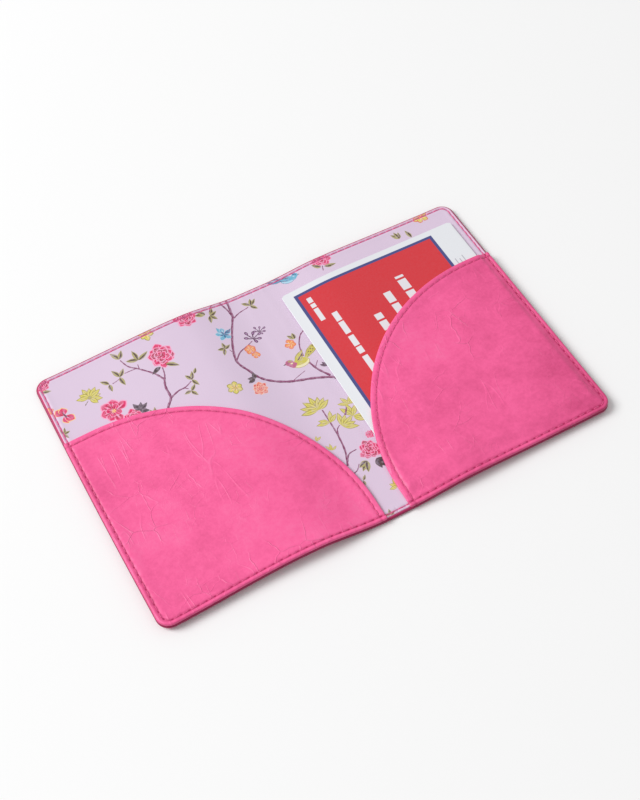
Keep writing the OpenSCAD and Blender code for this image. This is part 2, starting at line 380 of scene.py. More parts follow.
def make_holes_group():
    """Needle holes: small ovals at every whole number of stitches along a seam. Run is counted in
    stitches and Off is mm from the seam line. Hole is 1 in a hole, the mask for the hole's painted
    shade, and Line is 1 along the seam."""
    tree, given, result = new_group(
        "needle holes",
        [("Run", "Float", 0.0), ("Off", "Float", 9.0)],
        [("Hole", "Float"), ("Line", "Float")],
    )
    part = math_node(tree, "FRACT", math_node(tree, "ADD", given.outputs["Run"], 0.5))
    hole_long, hole_wide = 0.66, 0.42
    part = math_node(tree, "SUBTRACT", part, 0.5)
    along = math_node(tree, "MULTIPLY", part, PITCH / MM / hole_long)
    across = math_node(tree, "DIVIDE", given.outputs["Off"], hole_wide)
    far = math_node(tree, "MULTIPLY_ADD", along, along, math_node(tree, "MULTIPLY", across, across))
    hole = step_up(tree, math_node(tree, "SQRT", far), 0.6, 1.15)
    line = step_up(tree, math_node(tree, "ABSOLUTE", given.outputs["Off"]), 0.15, 0.75)
    tree.links.new(math_node(tree, "SUBTRACT", 1.0, hole), result.inputs["Hole"])
    tree.links.new(math_node(tree, "SUBTRACT", 1.0, line), result.inputs["Line"])
    return tree


NEEDLE_HOLES = make_holes_group()


def add_holes(tree, seam):
    """The holes of one seam, from the piece's own record of where the seam runs."""
    run = add(tree, "ShaderNodeAttribute", attribute_name=seam + "_run")
    off = add(tree, "ShaderNodeAttribute", attribute_name=seam + "_off")
    holes = add(tree, "ShaderNodeGroup", {}, node_tree=NEEDLE_HOLES)
    tree.links.new(run.outputs["Fac"], holes.inputs["Run"])
    tree.links.new(off.outputs["Fac"], holes.inputs["Off"])
    return holes


LEATHER_GRAIN = make_leather_group()


def leather(name, creases, pebble, offset, seams):
    """A satin leather: its tone runs from deep to pale pink, and is deeper along the seams, where they
    press it and where painted shade lies in the groove. Its outermost edge turns dark edge pink as
    painted shade of the rim's side. Each needle hole is a small dark oval of painted shade."""
    material, tree, shader = new_material(name)
    place = add(tree, "ShaderNodeTexCoord")
    moved = add(tree, "ShaderNodeMapping", {"Vector": place.outputs["Object"], "Location": offset})
    grain = add(tree, "ShaderNodeGroup", {}, node_tree=LEATHER_GRAIN)
    tree.links.new(moved.outputs[0], grain.inputs["Vector"])
    grain.inputs["Creases"].default_value = creases
    grain.inputs["Pebble"].default_value = pebble
    darkening = add(tree, "ShaderNodeAttribute", attribute_name="press_and_painted_shade")
    tone = math_node(tree, "SUBTRACT", grain.outputs["Tone"], darkening.outputs["Fac"])
    ramp = add(tree, "ShaderNodeValToRGB", {"Fac": tone})
    ramp.color_ramp.elements[0].position = 0.0
    ramp.color_ramp.elements[0].color = (*PINK_DEEP, 1)
    ramp.color_ramp.elements[1].position = 1.0
    ramp.color_ramp.elements[1].color = (*PINK_PALE, 1)
    middle = ramp.color_ramp.elements.new(0.5)
    middle.color = (*PINK, 1)
    # Painted shade: the outermost rim, where the record is highest, turns dark edge pink for its shaded
    # side.
    edge = step_up(tree, darkening.outputs["Fac"], 0.6, 1.0)
    colour = mix(tree, edge, ramp.outputs[0], (*EDGE_SHADE_PINK, 1))
    # Painted shade: each needle hole is darkened to a deep hole pink.
    for seam, strength in seams.items():
        holes = add_holes(tree, seam)
        dark = math_node(tree, "MULTIPLY", holes.outputs["Hole"], strength)
        colour = mix(tree, dark, colour, (*HOLE_SHADE_PINK, 1))
    tree.links.new(colour, shader.inputs["Base Color"])
    tree.links.new(grain.outputs["Roughness"], shader.inputs["Roughness"])
    emboss(tree, shader, grain.outputs["Height"], MM)
    shader.inputs["Specular IOR Level"].default_value = 0.42
    shader.inputs["Sheen Weight"].default_value = 0.12
    shader.inputs["Sheen Roughness"].default_value = 0.4
    return material


COVER_LEATHER = leather("outer leather", creases=1.0, pebble=1.0, offset=(0, 0, 0), seams={"seam": 0.9})


def record_seam(piece, seam, run, off):
    """Keeps, at each point of a closed sheet, the run along a seam and the distance from it."""
    give(piece, seam + "_run", np.tile(run, 2))
    give(piece, seam + "_off", np.tile(off / MM, 2))


SIDES = {"left": -1, "right": 1}


def bend_at_crease(piece):
    """Bakes the piece's placing into its points."""
    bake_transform(piece)


def cover_top(x, y):
    """The inner face of the outer leather: a rounded rim of two layers, then a step down to one."""
    d = inset(x, y)
    rim = RIM_Z / 2 * (1 + round_edge(d, RIM_ROUND))
    return rest(x, y) + rim - 0.7 * MM * smooth(TURNED_IN, TURNED_IN + 0.8 * MM, d)


def cover_bottom(x, y):
    """The outer face: rounded at the rim, drawn in along the seam and a little at each needle hole."""
    d = inset(x, y)
    groove = dip(d - SEAM_IN, 0.6 * MM) * (0.38 - 0.06 * puckers(x, y))
    return rest(x, y) + RIM_Z / 2 * (1 - round_edge(d, RIM_ROUND)) + groove * MM


def press_and_painted_shade(x, y):
    """How much deeper the colour is: where the iron and the seam press it, with painted shade in the
    seam's groove, and painted shade along the very edge, on the rim's side.
    """
    d = inset(x, y)
    # The seam's line is partly pressing and partly painted shade; the edge's line is painted shade.
    return 0.30 * dip(d - SEAM_IN, 0.5 * MM) + 1.0 * dip(d, 0.85 * MM)


for word, side in SIDES.items():
    x, y, faces = panel_plan(side, first_x=0.0, gap=0.0, columns=130, rows=170)
    cover = solid_from_plan(
        "outer_leather_" + word, x, y, faces, cover_top(x, y), cover_bottom(x, y), COVER_LEATHER
    )
    give(cover, "press_and_painted_shade", np.tile(press_and_painted_shade(x, y), 2))
    record_seam(cover, "seam", seam_run(x, y) / PITCH, inset(x, y) - SEAM_IN)
    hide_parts("cover_" + word, "cover_spine")
    bend_at_crease(cover)

# ---- Stiffening boards and spine tape ----
# A grey board stiffens each panel and a woven tape reinforces the spine. Both are glued to the outer
# leather before its edge is turned in, and the lining hides them.
BOARD_IN = EDGE_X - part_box("board_right")[1].x
BOARD_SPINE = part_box("board_right")[0].x
BOARD_THICK = 0.62 * MM
TAPE_X, TAPE_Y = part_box("spine_tape")[1].x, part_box("spine_tape")[1].y
TAPE_THICK = 0.3 * MM
GLUED_AT = 1.03 * MM


def matt_fibre(name, colour, roughness, scale, depth):
    """A matt fibrous material: two tones of one colour in fine noise, with the same noise as bump."""
    material, tree, shader = new_material(name)
    place = add(tree, "ShaderNodeTexCoord").outputs["Object"]
    fibres = noise(tree, place, scale, 4)
    deep = tuple(0.8 * part for part in colour)
    tone = mix(tree, fibres.outputs[0], (*deep, 1), (*colour, 1))
    tree.links.new(tone, shader.inputs["Base Color"])
    emboss(tree, shader, fibres.outputs[0], depth)
    shader.inputs["Roughness"].default_value = roughness
    return material


GREY_BOARD = matt_fibre("grey board", (0.32, 0.30, 0.27), 0.9, 900, 0.05 * MM)
WOVEN_TAPE = matt_fibre("woven tape", (0.80, 0.78, 0.75), 0.85, 1600, 0.08 * MM)

for word, side in SIDES.items():
    x, y, faces = panel_plan(side, BOARD_SPINE, BOARD_IN, columns=60, rows=40)
    under = rest(x, y) + GLUED_AT
    board = solid_from_plan("grey_board_" + word, x, y, faces, under + BOARD_THICK, under, GREY_BOARD)
    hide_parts("board_" + word)
    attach(board, word + "_panel")

tape_x, tape_y = np.linspace(-TAPE_X, TAPE_X, 9), np.linspace(-TAPE_Y, TAPE_Y, 60)
x, y = np.repeat(tape_x, 60), np.tile(tape_y, 9)
under = rest(x, y) + GLUED_AT
tape = solid_from_plan("woven_spine_tape", x, y, grid_faces(9, 60), under + TAPE_THICK, under, WOVEN_TAPE)
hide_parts("spine_tape")
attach(tape, "spine")

# ---- Printed lining ----
# A thin pale lilac sheet printed all over with branches, blossoms, leaves and birds. The print is
# part of the sheet: every motif is a flat shape set into the lining's own surface.
LINING_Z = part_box("lining_spine")[1].z
LINING_IN = EDGE_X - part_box("lining_right")[1].x + 0.7 * MM
LINING_PUFF = 0.20 * MM
PRINT = []


def ink(red, green, blue):
    """A printing ink, from its display colour (0 to 255) to linear light."""
    shade = np.array([red, green, blue]) / 255
    return (*np.where(shade < 0.04045, shade / 12.92, ((shade + 0.055) / 1.055) ** 2.4), 1.0)


LILAC = ink(219, 199, 221)
BARK, BARK_LIGHT = ink(112, 34, 78), ink(160, 88, 130)
OLIVE, OLIVE_DARK = ink(172, 164, 98), ink(74, 54, 46)
YELLOW, YELLOW_DARK = ink(218, 208, 96), ink(166, 152, 58)
DARK_LEAF, DARK_VEIN = ink(92, 78, 88), ink(52, 36, 48)
ROSE, ROSE_DEEP, ROSE_PALE = ink(224, 30, 100), ink(174, 6, 62), ink(248, 160, 196)
CORAL, CORAL_DEEP, CORAL_PALE = ink(240, 128, 106), ink(222, 82, 78), ink(252, 200, 176)
ORANGE, ORANGE_DEEP, ORANGE_PALE = ink(242, 150, 84), ink(226, 106, 62), ink(252, 208, 130)
BLUE, BLUE_DEEP, BLUE_PALE = ink(96, 176, 206), ink(34, 96, 142), ink(168, 214, 232)
BERRY, BERRY_PALE = ink(78, 26, 70), ink(176, 130, 178)


def paint(x, y, colour):
    """One closed shape of one colour, in mm, printed over the shapes before it. Its points are put
    in anticlockwise order, by the sign of its area."""
    outline = np.stack([x, y], -1) * MM
    area = np.sum(x * np.roll(y, -1) - y * np.roll(x, -1))
    PRINT.append((outline if area > 0 else outline[::-1], colour))


def paint_turned(x, y, heading, along, across, colour):
    """One closed shape, drawn along and across a heading from (x, y)."""
    a = math.radians(heading)
    px = x + along * math.cos(a) - across * math.sin(a)
    py = y + along * math.sin(a) + across * math.cos(a)
    paint(px, py, colour)


def leaf(x, y, heading, long, wide, colour, bend=0.12, left=1.0, right=1.0, blunt=0.8):
    """A leaf from its foot at (x, y): half width = wide / 2 * sin(pi t^blunt) on either side of a
    midrib that curls sideways as t squared. left and right narrow one half."""
    t = np.linspace(0, 1, 9)
    half = wide / 2 * np.sin(np.pi * t**blunt)
    rib = bend * long * t * t
    along = np.concatenate([t, t[-2:0:-1]]) * long
    across = np.concatenate([rib + left * half, (rib - right * half)[-2:0:-1]])
    paint_turned(x, y, heading, along, across, colour)


def foliage(x, y, headings, long, wide, light=OLIVE, dark=OLIVE_DARK, bend=0.12):
    """Leaves that share one foot: each a light leaf with one dark half and a dark midrib."""
    wide = 1.2 * wide
    for count, heading in enumerate(headings):
        reach = 1.06 * long * (1 - 0.12 * (count % 2))
        leaf(x, y, heading, reach, wide, light, bend)
        leaf(x, y, heading, reach * 0.94, wide, dark, bend, 0.0, 0.62)
        leaf(x, y, heading, reach * 0.98, wide * 0.16, dark, bend)


def petals(x, y, count, long, wide, colour, turn=0.0, blunt=1.5):
    """A ring of blunt petals round (x, y)."""
    for heading in turn + np.arange(count) * 360 / count:
        leaf(x, y, heading, long, wide, colour, 0.0, blunt=blunt)


def spot(x, y, radius, colour, squash=1.0, heading=0.0, count=12):
    """A disc or an oval."""
    t = np.arange(count) * 2 * np.pi / count
    paint_turned(x, y, heading, radius * np.cos(t), radius * squash * np.sin(t), colour)


HAND = np.random.default_rng(7)


def ruffles(x, y, radius, rings, turn, body, deep, pale):
    """Rings of petals laid from the outside in. Each petal has a pale rim, a body that is now and then
    deep, and a streak or two; its heading and size vary a little, as if painted by hand."""
    for count, size, wide in rings:
        turn = turn + 25
        for heading in turn + np.arange(count) * 360 / count:
            heading = heading + HAND.uniform(-9, 9)
            reach = radius * size * HAND.uniform(0.86, 1.08)
            broad = radius * wide * HAND.uniform(0.9, 1.1)
            bend = HAND.uniform(-0.1, 0.1)
            rim = 0.065 * radius
            leaf(x, y, heading, reach, broad, pale, bend, blunt=1.7)
            tone, streak = (deep, body) if HAND.uniform() < 0.35 else (body, deep)
            leaf(x, y, heading, reach - rim, broad - 1.6 * rim, tone, bend, blunt=1.7)
            leaf(x, y, heading + 6, reach - 1.8 * rim, 0.11 * radius, streak, bend)
            leaf(x, y, heading - 9, reach - 2.6 * rim, 0.07 * radius, pale, bend)


def rose(x, y, radius, turn=0.0, body=ROSE, deep=ROSE_DEEP, pale=ROSE_PALE):
    """A full rose: four rings of ruffled petals round a deep heart with a pale curl."""
    rings = ((8, 1.0, 0.66), (7, 0.80, 0.58), (6, 0.58, 0.46), (4, 0.38, 0.34))
    ruffles(x, y, radius, rings, turn, body, deep, pale)
    spot(x, y, radius * 0.15, deep, 0.8, turn)
    spot(x - 0.03 * radius, y + 0.04 * radius, radius * 0.07, pale, 0.5, turn + 40)


def peony(x, y, radius, turn=0.0):
    """An open peony: a few large loose petals, one side longer, and a yellow heart."""
    first = ((60, 1.0, 0.9), (110, 1.1, 0.8), (160, 1.0, 0.8))
    second = ((215, 0.9, 0.8), (265, 1.1, 0.7), (0, 1.15, 0.75))
    for heading, long, wide in first + second:
        heading = heading + turn
        leaf(x, y, heading, radius * long, radius * wide, ROSE_PALE, 0.08, blunt=1.7)
        leaf(x, y, heading, radius * (long - 0.09), radius * (wide - 0.15), ROSE, 0.08, blunt=1.7)
        for swing, tone in ((-13, ROSE_DEEP), (0, ROSE_PALE), (12, ROSE_DEEP)):
            leaf(x, y, heading + swing, radius * (long - 0.28), radius * 0.11, tone, 0.08, blunt=1.2)
    ruffles(x, y, radius * 0.6, ((4, 1.0, 0.8),), turn + 15, ROSE, ROSE_DEEP, ROSE_PALE)
    spot(x, y, radius * 0.15, ORANGE_PALE)
    petals(x, y, 5, radius * 0.22, radius * 0.07, ORANGE_DEEP, turn)


def blossom(x, y, radius, count, turn=0.0, body=ORANGE, deep=ORANGE_DEEP, pale=ORANGE_PALE):
    """A small open flower: separate round petals with deep rims and pale streaks, round a heart."""
    for heading in turn + np.arange(count) * 360 / count + HAND.uniform(-8, 8, count):
        long = radius * HAND.uniform(0.86, 1.1)
        leaf(x, y, heading, long, radius * 4.1 / count, deep, 0.05, blunt=1.6)
        leaf(x, y, heading, long - 0.12 * radius, radius * 3.2 / count, body, 0.05, blunt=1.6)
        leaf(x, y, heading + 7, long * 0.7, radius * 0.16, pale, 0.05)
        leaf(x, y, heading - 10, long * 0.6, radius * 0.08, deep, 0.05)
    spot(x, y, radius * 0.2, deep)
    petals(x, y, 4, radius * 0.22, radius * 0.1, pale, turn)


def spray(x, y, headings, long, wide, colour=YELLOW, dark=YELLOW_DARK):
    """A fan of slim pointed petals with dark outlines."""
    for count, heading in enumerate(headings):
        reach = long * (1 - 0.15 * (count % 2))
        leaf(x, y, heading, reach, wide, dark, 0.06, blunt=0.95)
        leaf(x, y, heading, reach * 0.93, wide * 0.74, colour, 0.06, blunt=0.95)
        leaf(x, y, heading, reach * 0.8, wide * 0.12, dark, 0.06)


def branch(points, start, end, colour=BARK, light=BARK_LIGHT):
    """A tapering ribbon along a smooth curve: between points it follows a cubic whose slope at each
    point is half the step between its neighbours. A lighter line runs along one side."""
    p = np.array(points, float)
    slope = np.gradient(p, axis=0)
    t = np.linspace(0, 1, 7)[:-1, None]
    curve = (
        (2 * t**3 - 3 * t**2 + 1) * p[:-1, None]
        + (t**3 - 2 * t**2 + t) * slope[:-1, None]
        + (3 * t**2 - 2 * t**3) * p[1:, None]
        + (t**3 - t**2) * slope[1:, None]
    )
    curve = np.concatenate([curve.reshape(-1, 2), p[-1:]])
    ahead = np.gradient(curve, axis=0)
    ahead = ahead / np.hypot(ahead[:, :1], ahead[:, 1:])
    across = ahead[:, ::-1] * (-1, 1)
    knots = 1 + 0.16 * np.sin(np.arange(len(curve)) * 1.9)
    half = (np.linspace(start, end, len(curve)) / 2 * knots)[:, None]
    ribbon = np.concatenate([curve + across * half, (curve - across * half)[::-1]])
    paint(ribbon[:, 0], ribbon[:, 1], colour)
    shine = np.concatenate([curve + across * half * 0.7, (curve + across * half * 0.1)[::-1]])
    paint(shine[:, 0], shine[:, 1], light)


def butterfly(x, y, size):
    """Folded wings seen from the side, rimmed in yellow and veined, and a thin body."""
    for heading, long, wide in ((118, 0.95, 0.9), (80, 0.85, 0.8), (-92, 0.85, 0.7), (-52, 1.0, 0.8)):
        leaf(x, y, heading, size * long, size * wide, ORANGE_PALE, 0.08, blunt=1.2)
        leaf(x, y, heading, size * (long - 0.08), size * (wide - 0.12), ROSE, 0.08, blunt=1.2)
        leaf(x, y, heading + 8, size * (long - 0.3), size * 0.14, ROSE_DEEP, 0.08)
        leaf(x, y, heading - 9, size * (long - 0.36), size * 0.08, ROSE_PALE, 0.08)
    leaf(x + 0.12 * size, y - size * 0.35, 97, size * 0.75, size * 0.12, BERRY)


def bird(x, y, heading, tail, size, body, deep, pale, head):
    """A perched bird from the side: long barred tail feathers, body, folded wing, head and beak."""
    a, b = math.radians(heading), math.radians(tail)
    middle = np.array([x, y])
    ahead, behind = np.array([math.cos(a), math.sin(a)]), np.array([math.cos(b), math.sin(b)])
    up = np.array([-math.sin(a), math.cos(a)]) * (1 if math.cos(a) > 0 else -1)
    root = middle - ahead * size * 0.2
    for swing, long in ((-7, 1.35), (7, 1.2), (0, 1.5)):
        leaf(*root, tail + swing, size * long, size * 0.26, deep, 0.0, blunt=1.3)
        leaf(*root, tail + swing, size * long * 0.96, size * 0.17, body, 0.0, blunt=1.3)
    for step in range(8):
        place = root + behind * size * (0.5 + 0.11 * step) + up * size * (0.04 if step % 2 else -0.05)
        spot(*place, size * 0.045, BERRY, 0.6, tail + 50, 6)
    spot(*(middle - up * size * 0.06), size * 0.52, deep, 0.62, heading)
    spot(*(middle - up * size * 0.06), size * 0.49, pale, 0.6, heading)
    spot(*(middle + up * size * 0.04), size * 0.47, body, 0.50, heading)
    wing = middle + ahead * size * 0.26 + up * size * 0.06
    leaf(*wing, tail + 4, size * 0.95, size * 0.40, deep, 0.05)
    leaf(*wing, tail + 4, size * 0.86, size * 0.31, body, 0.05)
    for step in range(4):
        place = wing + behind * size * (0.16 + 0.13 * step)
        leaf(*place, tail - 14 + 10 * (step % 2), size * 0.26, size * 0.06, BERRY, 0.05)
    crown = middle + ahead * size * 0.58 + up * size * 0.20
    leaf(*(crown + ahead * size * 0.12), heading, size * 0.26, size * 0.09, OLIVE_DARK, 0.0)
    leaf(*(middle + ahead * size * 0.2), heading, size * 0.5, size * 0.42, head, 0.0, blunt=1.0)
    spot(*crown, size * 0.24, head, 0.84, heading)
    spot(*(crown - ahead * size * 0.07 + up * size * 0.1), size * 0.13, deep, 0.45, heading)
    spot(*(crown - ahead * size * 0.10 - up * size * 0.08), size * 0.08, pale, 0.6, heading)
    spot(*(crown + ahead * size * 0.07 + up * size * 0.04), size * 0.035, DARK_VEIN, count=7)


def berries(x, y, size):
    """A dark spray of ring-shaped berries on thin stalks."""
    for heading, far in ((20, 1.0), (65, 0.8), (110, 1.05), (150, 0.75), (-20, 0.7), (-70, 0.45)):
        a = math.radians(heading)
        tip = (x + far * size * math.cos(a), y + far * size * math.sin(a))
        leaf(x, y, heading, far * size, size * 0.14, BERRY)
        spot(*tip, size * 0.27, BERRY, 0.66, heading)
        spot(*tip, size * 0.15, BERRY_PALE, 0.5, heading)


# Left panel: a branch with a rose rises from the pocket, with blooms and leaves to either side.
rose(-107.0, 67.0, 4.6, 20)
foliage(-108.5, 63.4, (-25,), 4.6, 1.5, OLIVE, DARK_VEIN)
blossom(-109.0, 52.0, 2.2, 5)
butterfly(-103.8, 46.4, 5.6)
foliage(-107.5, 37.4, (60, 0, -75, 100), 3.2, 1.1)
spray(-90.3, 49.4, (100, 68, 40, 132, 160, -10, -35, -65, 15), 6.2, 2.6)
spot(-90.3, 49.4, 1.0, OLIVE)
branch([(-93.6, 46.6), (-91.5, 48.2)], 0.4, 0.3, OLIVE_DARK, OLIVE)
branch([(-83.6, 36.0), (-81.4, 31.6)], 0.7, 0.5, OLIVE_DARK, OLIVE)
peony(-83.6, 37.2, 6.4, 12)
rose(-77.0, 29.0, 5.2, 30)
foliage(-73.6, 31.2, (100, 55, 20, -35), 4.8, 2.0, DARK_LEAF, DARK_VEIN)
foliage(-69.0, 25.4, (150, 95, 60), 4.2, 1.5)
blossom(-69.4, 25.8, 1.6, 5)
branch([(-64.0, 22.6), (-61.8, 26.6), (-59.0, 30.2), (-58.6, 36.5), (-57.2, 41.0)], 1.25, 0.95)
branch([(-57.2, 40.4), (-59.8, 45.6), (-64.8, 51.6), (-68.6, 55.6), (-70.4, 60.6)], 0.95, 0.5)
branch([(-57.2, 40.4), (-56.0, 43.6), (-55.4, 47.4)], 0.75, 0.5)
branch([(-59.0, 30.0), (-54.6, 31.6), (-51.0, 31.8), (-47.4, 33.4)], 0.95, 0.5)
branch([(-51.8, 31.8), (-50.2, 30.2)], 0.5, 0.35)
branch([(-65.6, 52.6), (-69.0, 52.9), (-71.6, 53.0)], 0.5, 0.35)
branch([(-78.4, 50.8), (-75.8, 51.2), (-74.0, 52.0)], 0.4, 0.3)
branch([(-64.8, 51.8), (-64.4, 54.4)], 0.5, 0.35)
foliage(-70.6, 61.4, (110, 50), 5.4, 1.9)
foliage(-63.4, 56.4, (88, 150, 15), 6.0, 1.9)
foliage(-74.2, 52.4, (105, 40, -90), 5.2, 1.8)
foliage(-79.8, 51.2, (125, -100), 4.6, 1.7)
rose(-53.0, 53.2, 7.0, 8)
foliage(-56.0, 47.6, (190,), 5.0, 1.9, OLIVE_DARK, DARK_VEIN, 0.2)
foliage(-53.4, 47.8, (-22,), 6.0, 2.0, OLIVE, OLIVE_DARK, -0.25)
foliage(-46.8, 34.0, (60, 110, -75), 4.4, 1.6)
foliage(-49.6, 28.6, (35, 175, -70), 3.8, 1.5)
foliage(-44.6, 36.4, (48,), 3.2, 1.3)
blossom(-54.4, 68.0, 4.0, 6, 30, YELLOW, YELLOW_DARK)
rose(-34.6, 67.2, 5.8, 14)
foliage(-25.4, 64.8, (160, 130), 4.8, 2.0)
foliage(-23.6, 63.4, (50, -60, -115, 15), 4.4, 1.7)
branch([(-22.8, 65.6), (-20.6, 68.6), (-15.4, 69.4)], 0.5, 0.4)

# Spine: the main branch comes down in an S from the top edge, and carries blooms, berries and a bird.
branch([(-16.8, 71.0), (-15.6, 66.6), (-14.6, 62.6), (-14.4, 58.2)], 0.7, 0.9)
branch([(-12.6, 71.0), (-13.2, 65.0), (-14.4, 57.8)], 1.15, 1.05)
branch([(-14.4, 58.4), (-19.2, 49.4), (-23.0, 40.6), (-24.6, 33.0), (-21.6, 25.6)], 1.0, 1.15)
branch(
    [(-21.8, 26.0), (-19.4, 21.0), (-14.6, 16.6), (-7.0, 12.6), (1.6, 9.6), (9.0, 6.2), (11.5, 4.0)],
    1.15,
    1.3,
)
branch([(-14.2, 57.6), (-10.4, 59.4), (-5.2, 60.4)], 0.75, 0.4)
branch([(-24.2, 34.4), (-20.6, 38.0), (-16.0, 40.0), (-12.8, 41.6)], 0.75, 0.4)
branch([(-21.0, 46.4), (-20.2, 48.0)], 0.4, 0.3)
branch([(-24.0, 39.6), (-24.6, 41.2)], 0.4, 0.3)
foliage(-4.0, 60.8, (30, 60, 130, -60), 4.4, 1.6)
leaf(-23.2, 50.6, 100, 5.0, 2.2, BLUE, 0.1)
petals(-22.8, 50.6, 5, 4.0, 2.6, BLUE_PALE, 14, blunt=1.5)
petals(-22.8, 50.6, 5, 3.8, 2.1, BLUE, 14, blunt=1.4)
petals(-22.8, 50.6, 6, 3.0, 0.7, BLUE_PALE, 25, blunt=1.2)
petals(-22.6, 50.4, 5, 2.4, 0.8, BLUE_DEEP, 40, blunt=1.0)
leaf(-21.4, 50.8, 20, 3.4, 1.4, BLUE_DEEP, 0.2)
foliage(-26.2, 42.4, (80, 160, -125, 20), 3.8, 1.5)
berries(-11.8, 42.6, 4.2)
berries(-7.2, 45.0, 3.0)
blossom(-15.8, 37.6, 3.2, 5, 15)
blossom(-14.8, 33.6, 2.2, 4, 60)
blossom(1.9, 31.6, 3.0, 5, 30)
foliage(5.0, 33.2, (120, 78), 4.0, 1.7)
branch([(11.0, 35.6), (8.0, 33.6), (5.0, 28.6), (3.8, 22.6)], 0.55, 0.7)
branch([(4.2, 19.0), (6.0, 13.0), (9.4, 7.0)], 0.9, 1.1)
branch([(5.8, 14.6), (8.4, 17.4)], 0.45, 0.3)
foliage(-21.6, 21.2, (75, 150, 190), 3.8, 1.8, DARK_LEAF, OLIVE_DARK)
rose(-22.0, 15.2, 3.9, 0, CORAL, CORAL_DEEP, CORAL_PALE)
blossom(-32.0, 20.4, 3.9, 6, 10, YELLOW, YELLOW_DARK)
YELLOW_BACK, CREAM, PLUM = ink(206, 196, 74), ink(240, 232, 176), ink(190, 92, 130)
bird(1.2, 20.4, 178, 34, 8.4, YELLOW_BACK, YELLOW_DARK, CREAM, PLUM)
branch([(-6.4, 12.8), (-3.6, 13.8), (0.6, 15.0)], 0.35, 0.3)
foliage(10.4, 12.4, (100, 70, 130), 3.2, 1.2, DARK_LEAF, BERRY)
spray(-4.4, -6.8, (92, 64, 120, 40, 146, 20, 170), 8.4, 2.9)
branch([(-3.0, -7.6), (-3.1, -14.0), (-3.4, -22.0), (-4.6, -31.0), (-7.4, -38.6)], 0.6, 0.95)
branch([(-3.4, -23.4), (-2.2, -20.0), (-0.2, -18.4)], 0.6, 0.35)
branch([(-6.6, -36.8), (-4.0, -33.6), (0.0, -33.0)], 0.75, 0.45)
branch([(-6.8, -43.2), (-4.8, -42.4), (-2.6, -40.0)], 0.6, 0.35)
spray(-3.2, -15.2, (165, 140, 60, 28), 6.4, 2.2)
spray(0.6, -19.6, (75, 48, 20, -8, -30), 7.6, 2.7)
spray(7.4, -17.0, (85, 50, -30, -55, 115), 7.2, 2.6)
branch([(4.6, -15.0), (7.2, -11.6)], 0.9, 0.6)
spray(9.0, -10.8, (110, 60, 150, 20), 5.4, 1.9)
spray(-13.4, -21.0, (20, 60), 3.4, 1.2)
spray(-9.6, -28.4, (75, 20, 110), 3.8, 1.2)
rose(8.9, -29.0, 2.3, 10)
rose(5.0, -35.8, 5.4, 26)
foliage(1.2, -40.4, (215, 190, 240), 5.4, 2.2)
foliage(5.4, -41.2, (-75, -100, -50), 6.0, 2.4, OLIVE_DARK, DARK_VEIN)
foliage(-5.2, -48.2, (40, -100), 3.0, 1.1)
spray(6.2, -58.0, (90, 130, 50, 170), 4.6, 1.8)
foliage(-3.6, -68.4, (70, 10, 150), 2.8, 1.1)

# Right panel: above the card, a blue bird and a rose at the top edge, then leaves and a bloom.
bird(18.4, 65.6, -16, 160, 6.6, BLUE, BLUE_DEEP, BLUE_PALE, BLUE)
leaf(15.6, 67.4, 160, 8.6, 3.0, BLUE_DEEP, -0.15)
leaf(15.6, 67.6, 164, 8.0, 2.2, BLUE_PALE, -0.15)
leaf(15.6, 67.8, 168, 6.8, 0.5, BLUE_DEEP, -0.15)
rose(37.0, 68.4, 5.8, 40)
foliage(35.6, 63.2, (150,), 4.6, 1.7, OLIVE, OLIVE_DARK, -0.2)
foliage(37.0, 63.0, (-25,), 5.6, 1.8, OLIVE, OLIVE_DARK, 0.25)
branch([(36.4, 63.6), (35.4, 60.8)], 0.5, 0.4)
foliage(77.4, 60.6, (118, 62, 90), 4.6, 1.7)
foliage(83.2, 58.4, (92,), 5.2, 1.8)
blossom(93.4, 68.0, 4.3, 6, 12, YELLOW, ORANGE_DEEP)

# Under the card the print goes on, and shows when the card is out.
branch([(11.5, 4.0), (18.0, -2.0), (27.0, -1.0), (36.0, 6.0), (47.0, 7.0), (58.0, 14.0)], 1.3, 1.1)
branch([(58.0, 14.0), (70.0, 20.0), (80.0, 33.0), (84.0, 46.0), (83.0, 58.0)], 1.1, 0.6)
branch([(36.0, 6.0), (38.0, 17.0), (34.0, 28.0), (36.0, 42.0)], 0.9, 0.5)
branch([(58.0, 14.0), (60.0, 26.0), (56.0, 38.0), (58.0, 48.0)], 0.9, 0.5)
for across, up, kind in (
    (22, 12, 0), (27, -12, 1), (30, 34, 2), (40, 30, 3), (44, 50, 0), (50, 20, 1), (52, 38, 3), (62, 36, 2),
    (64, 52, 1), (70, 8, 0), (74, 30, 3), (88, 24, 2), (90, 48, 0), (20, 30, 3), (24, 48, 1), (98, 36, 1),
):
    if kind == 0:
        rose(across, up, 5.0, 7 * across)
    elif kind == 1:
        blossom(across, up, 3.0, 5, 5 * across)
    elif kind == 2:
        spray(across, up, (90, 60, 120, 30, 150), 6.0, 2.2)
    else:
        foliage(across, up, (95, 40, 150, -20), 5.0, 1.8)


def lining_top(x, y):
    """The printed face: puffed between the edge and the seam, drawn down along the seam and more at
    each needle hole, then flat, with faint waves and a soft ridge at each crease."""
    d = inset(x, y)
    puff = LINING_PUFF * (dip(d - 1.35 * MM, 0.75 * MM) + 0.6 * dip(d - 3.5 * MM, 0.9 * MM))
    seam = dip(d - SEAM_IN, 0.55 * MM) * (0.26 - 0.08 * puckers(x, y)) * MM
    gather = 0.05 * MM * puckers(x, y) * dip(d - 1.5 * MM, 1.0 * MM)
    ridge = 0.07 * MM * dip(np.abs(x) - CREASE_X, 0.7 * MM)
    wave = 0.05 * MM * np.sin(x * 110 + 1.3 * np.sin(y * 60)) * np.sin(y * 85 + 0.7)
    wave = wave * smooth(4 * MM, 12 * MM, d)
    level = LINING_Z - 0.30 * MM * (1 - round_edge(d - LINING_IN, 0.5 * MM))
    return rest(x, y) + level + puff - seam + gather + ridge + wave


def lining_bottom(x, y):
    """The glued face, on the turned rim and on the board."""
    return rest(x, y) + RIM_Z - 0.02 * MM


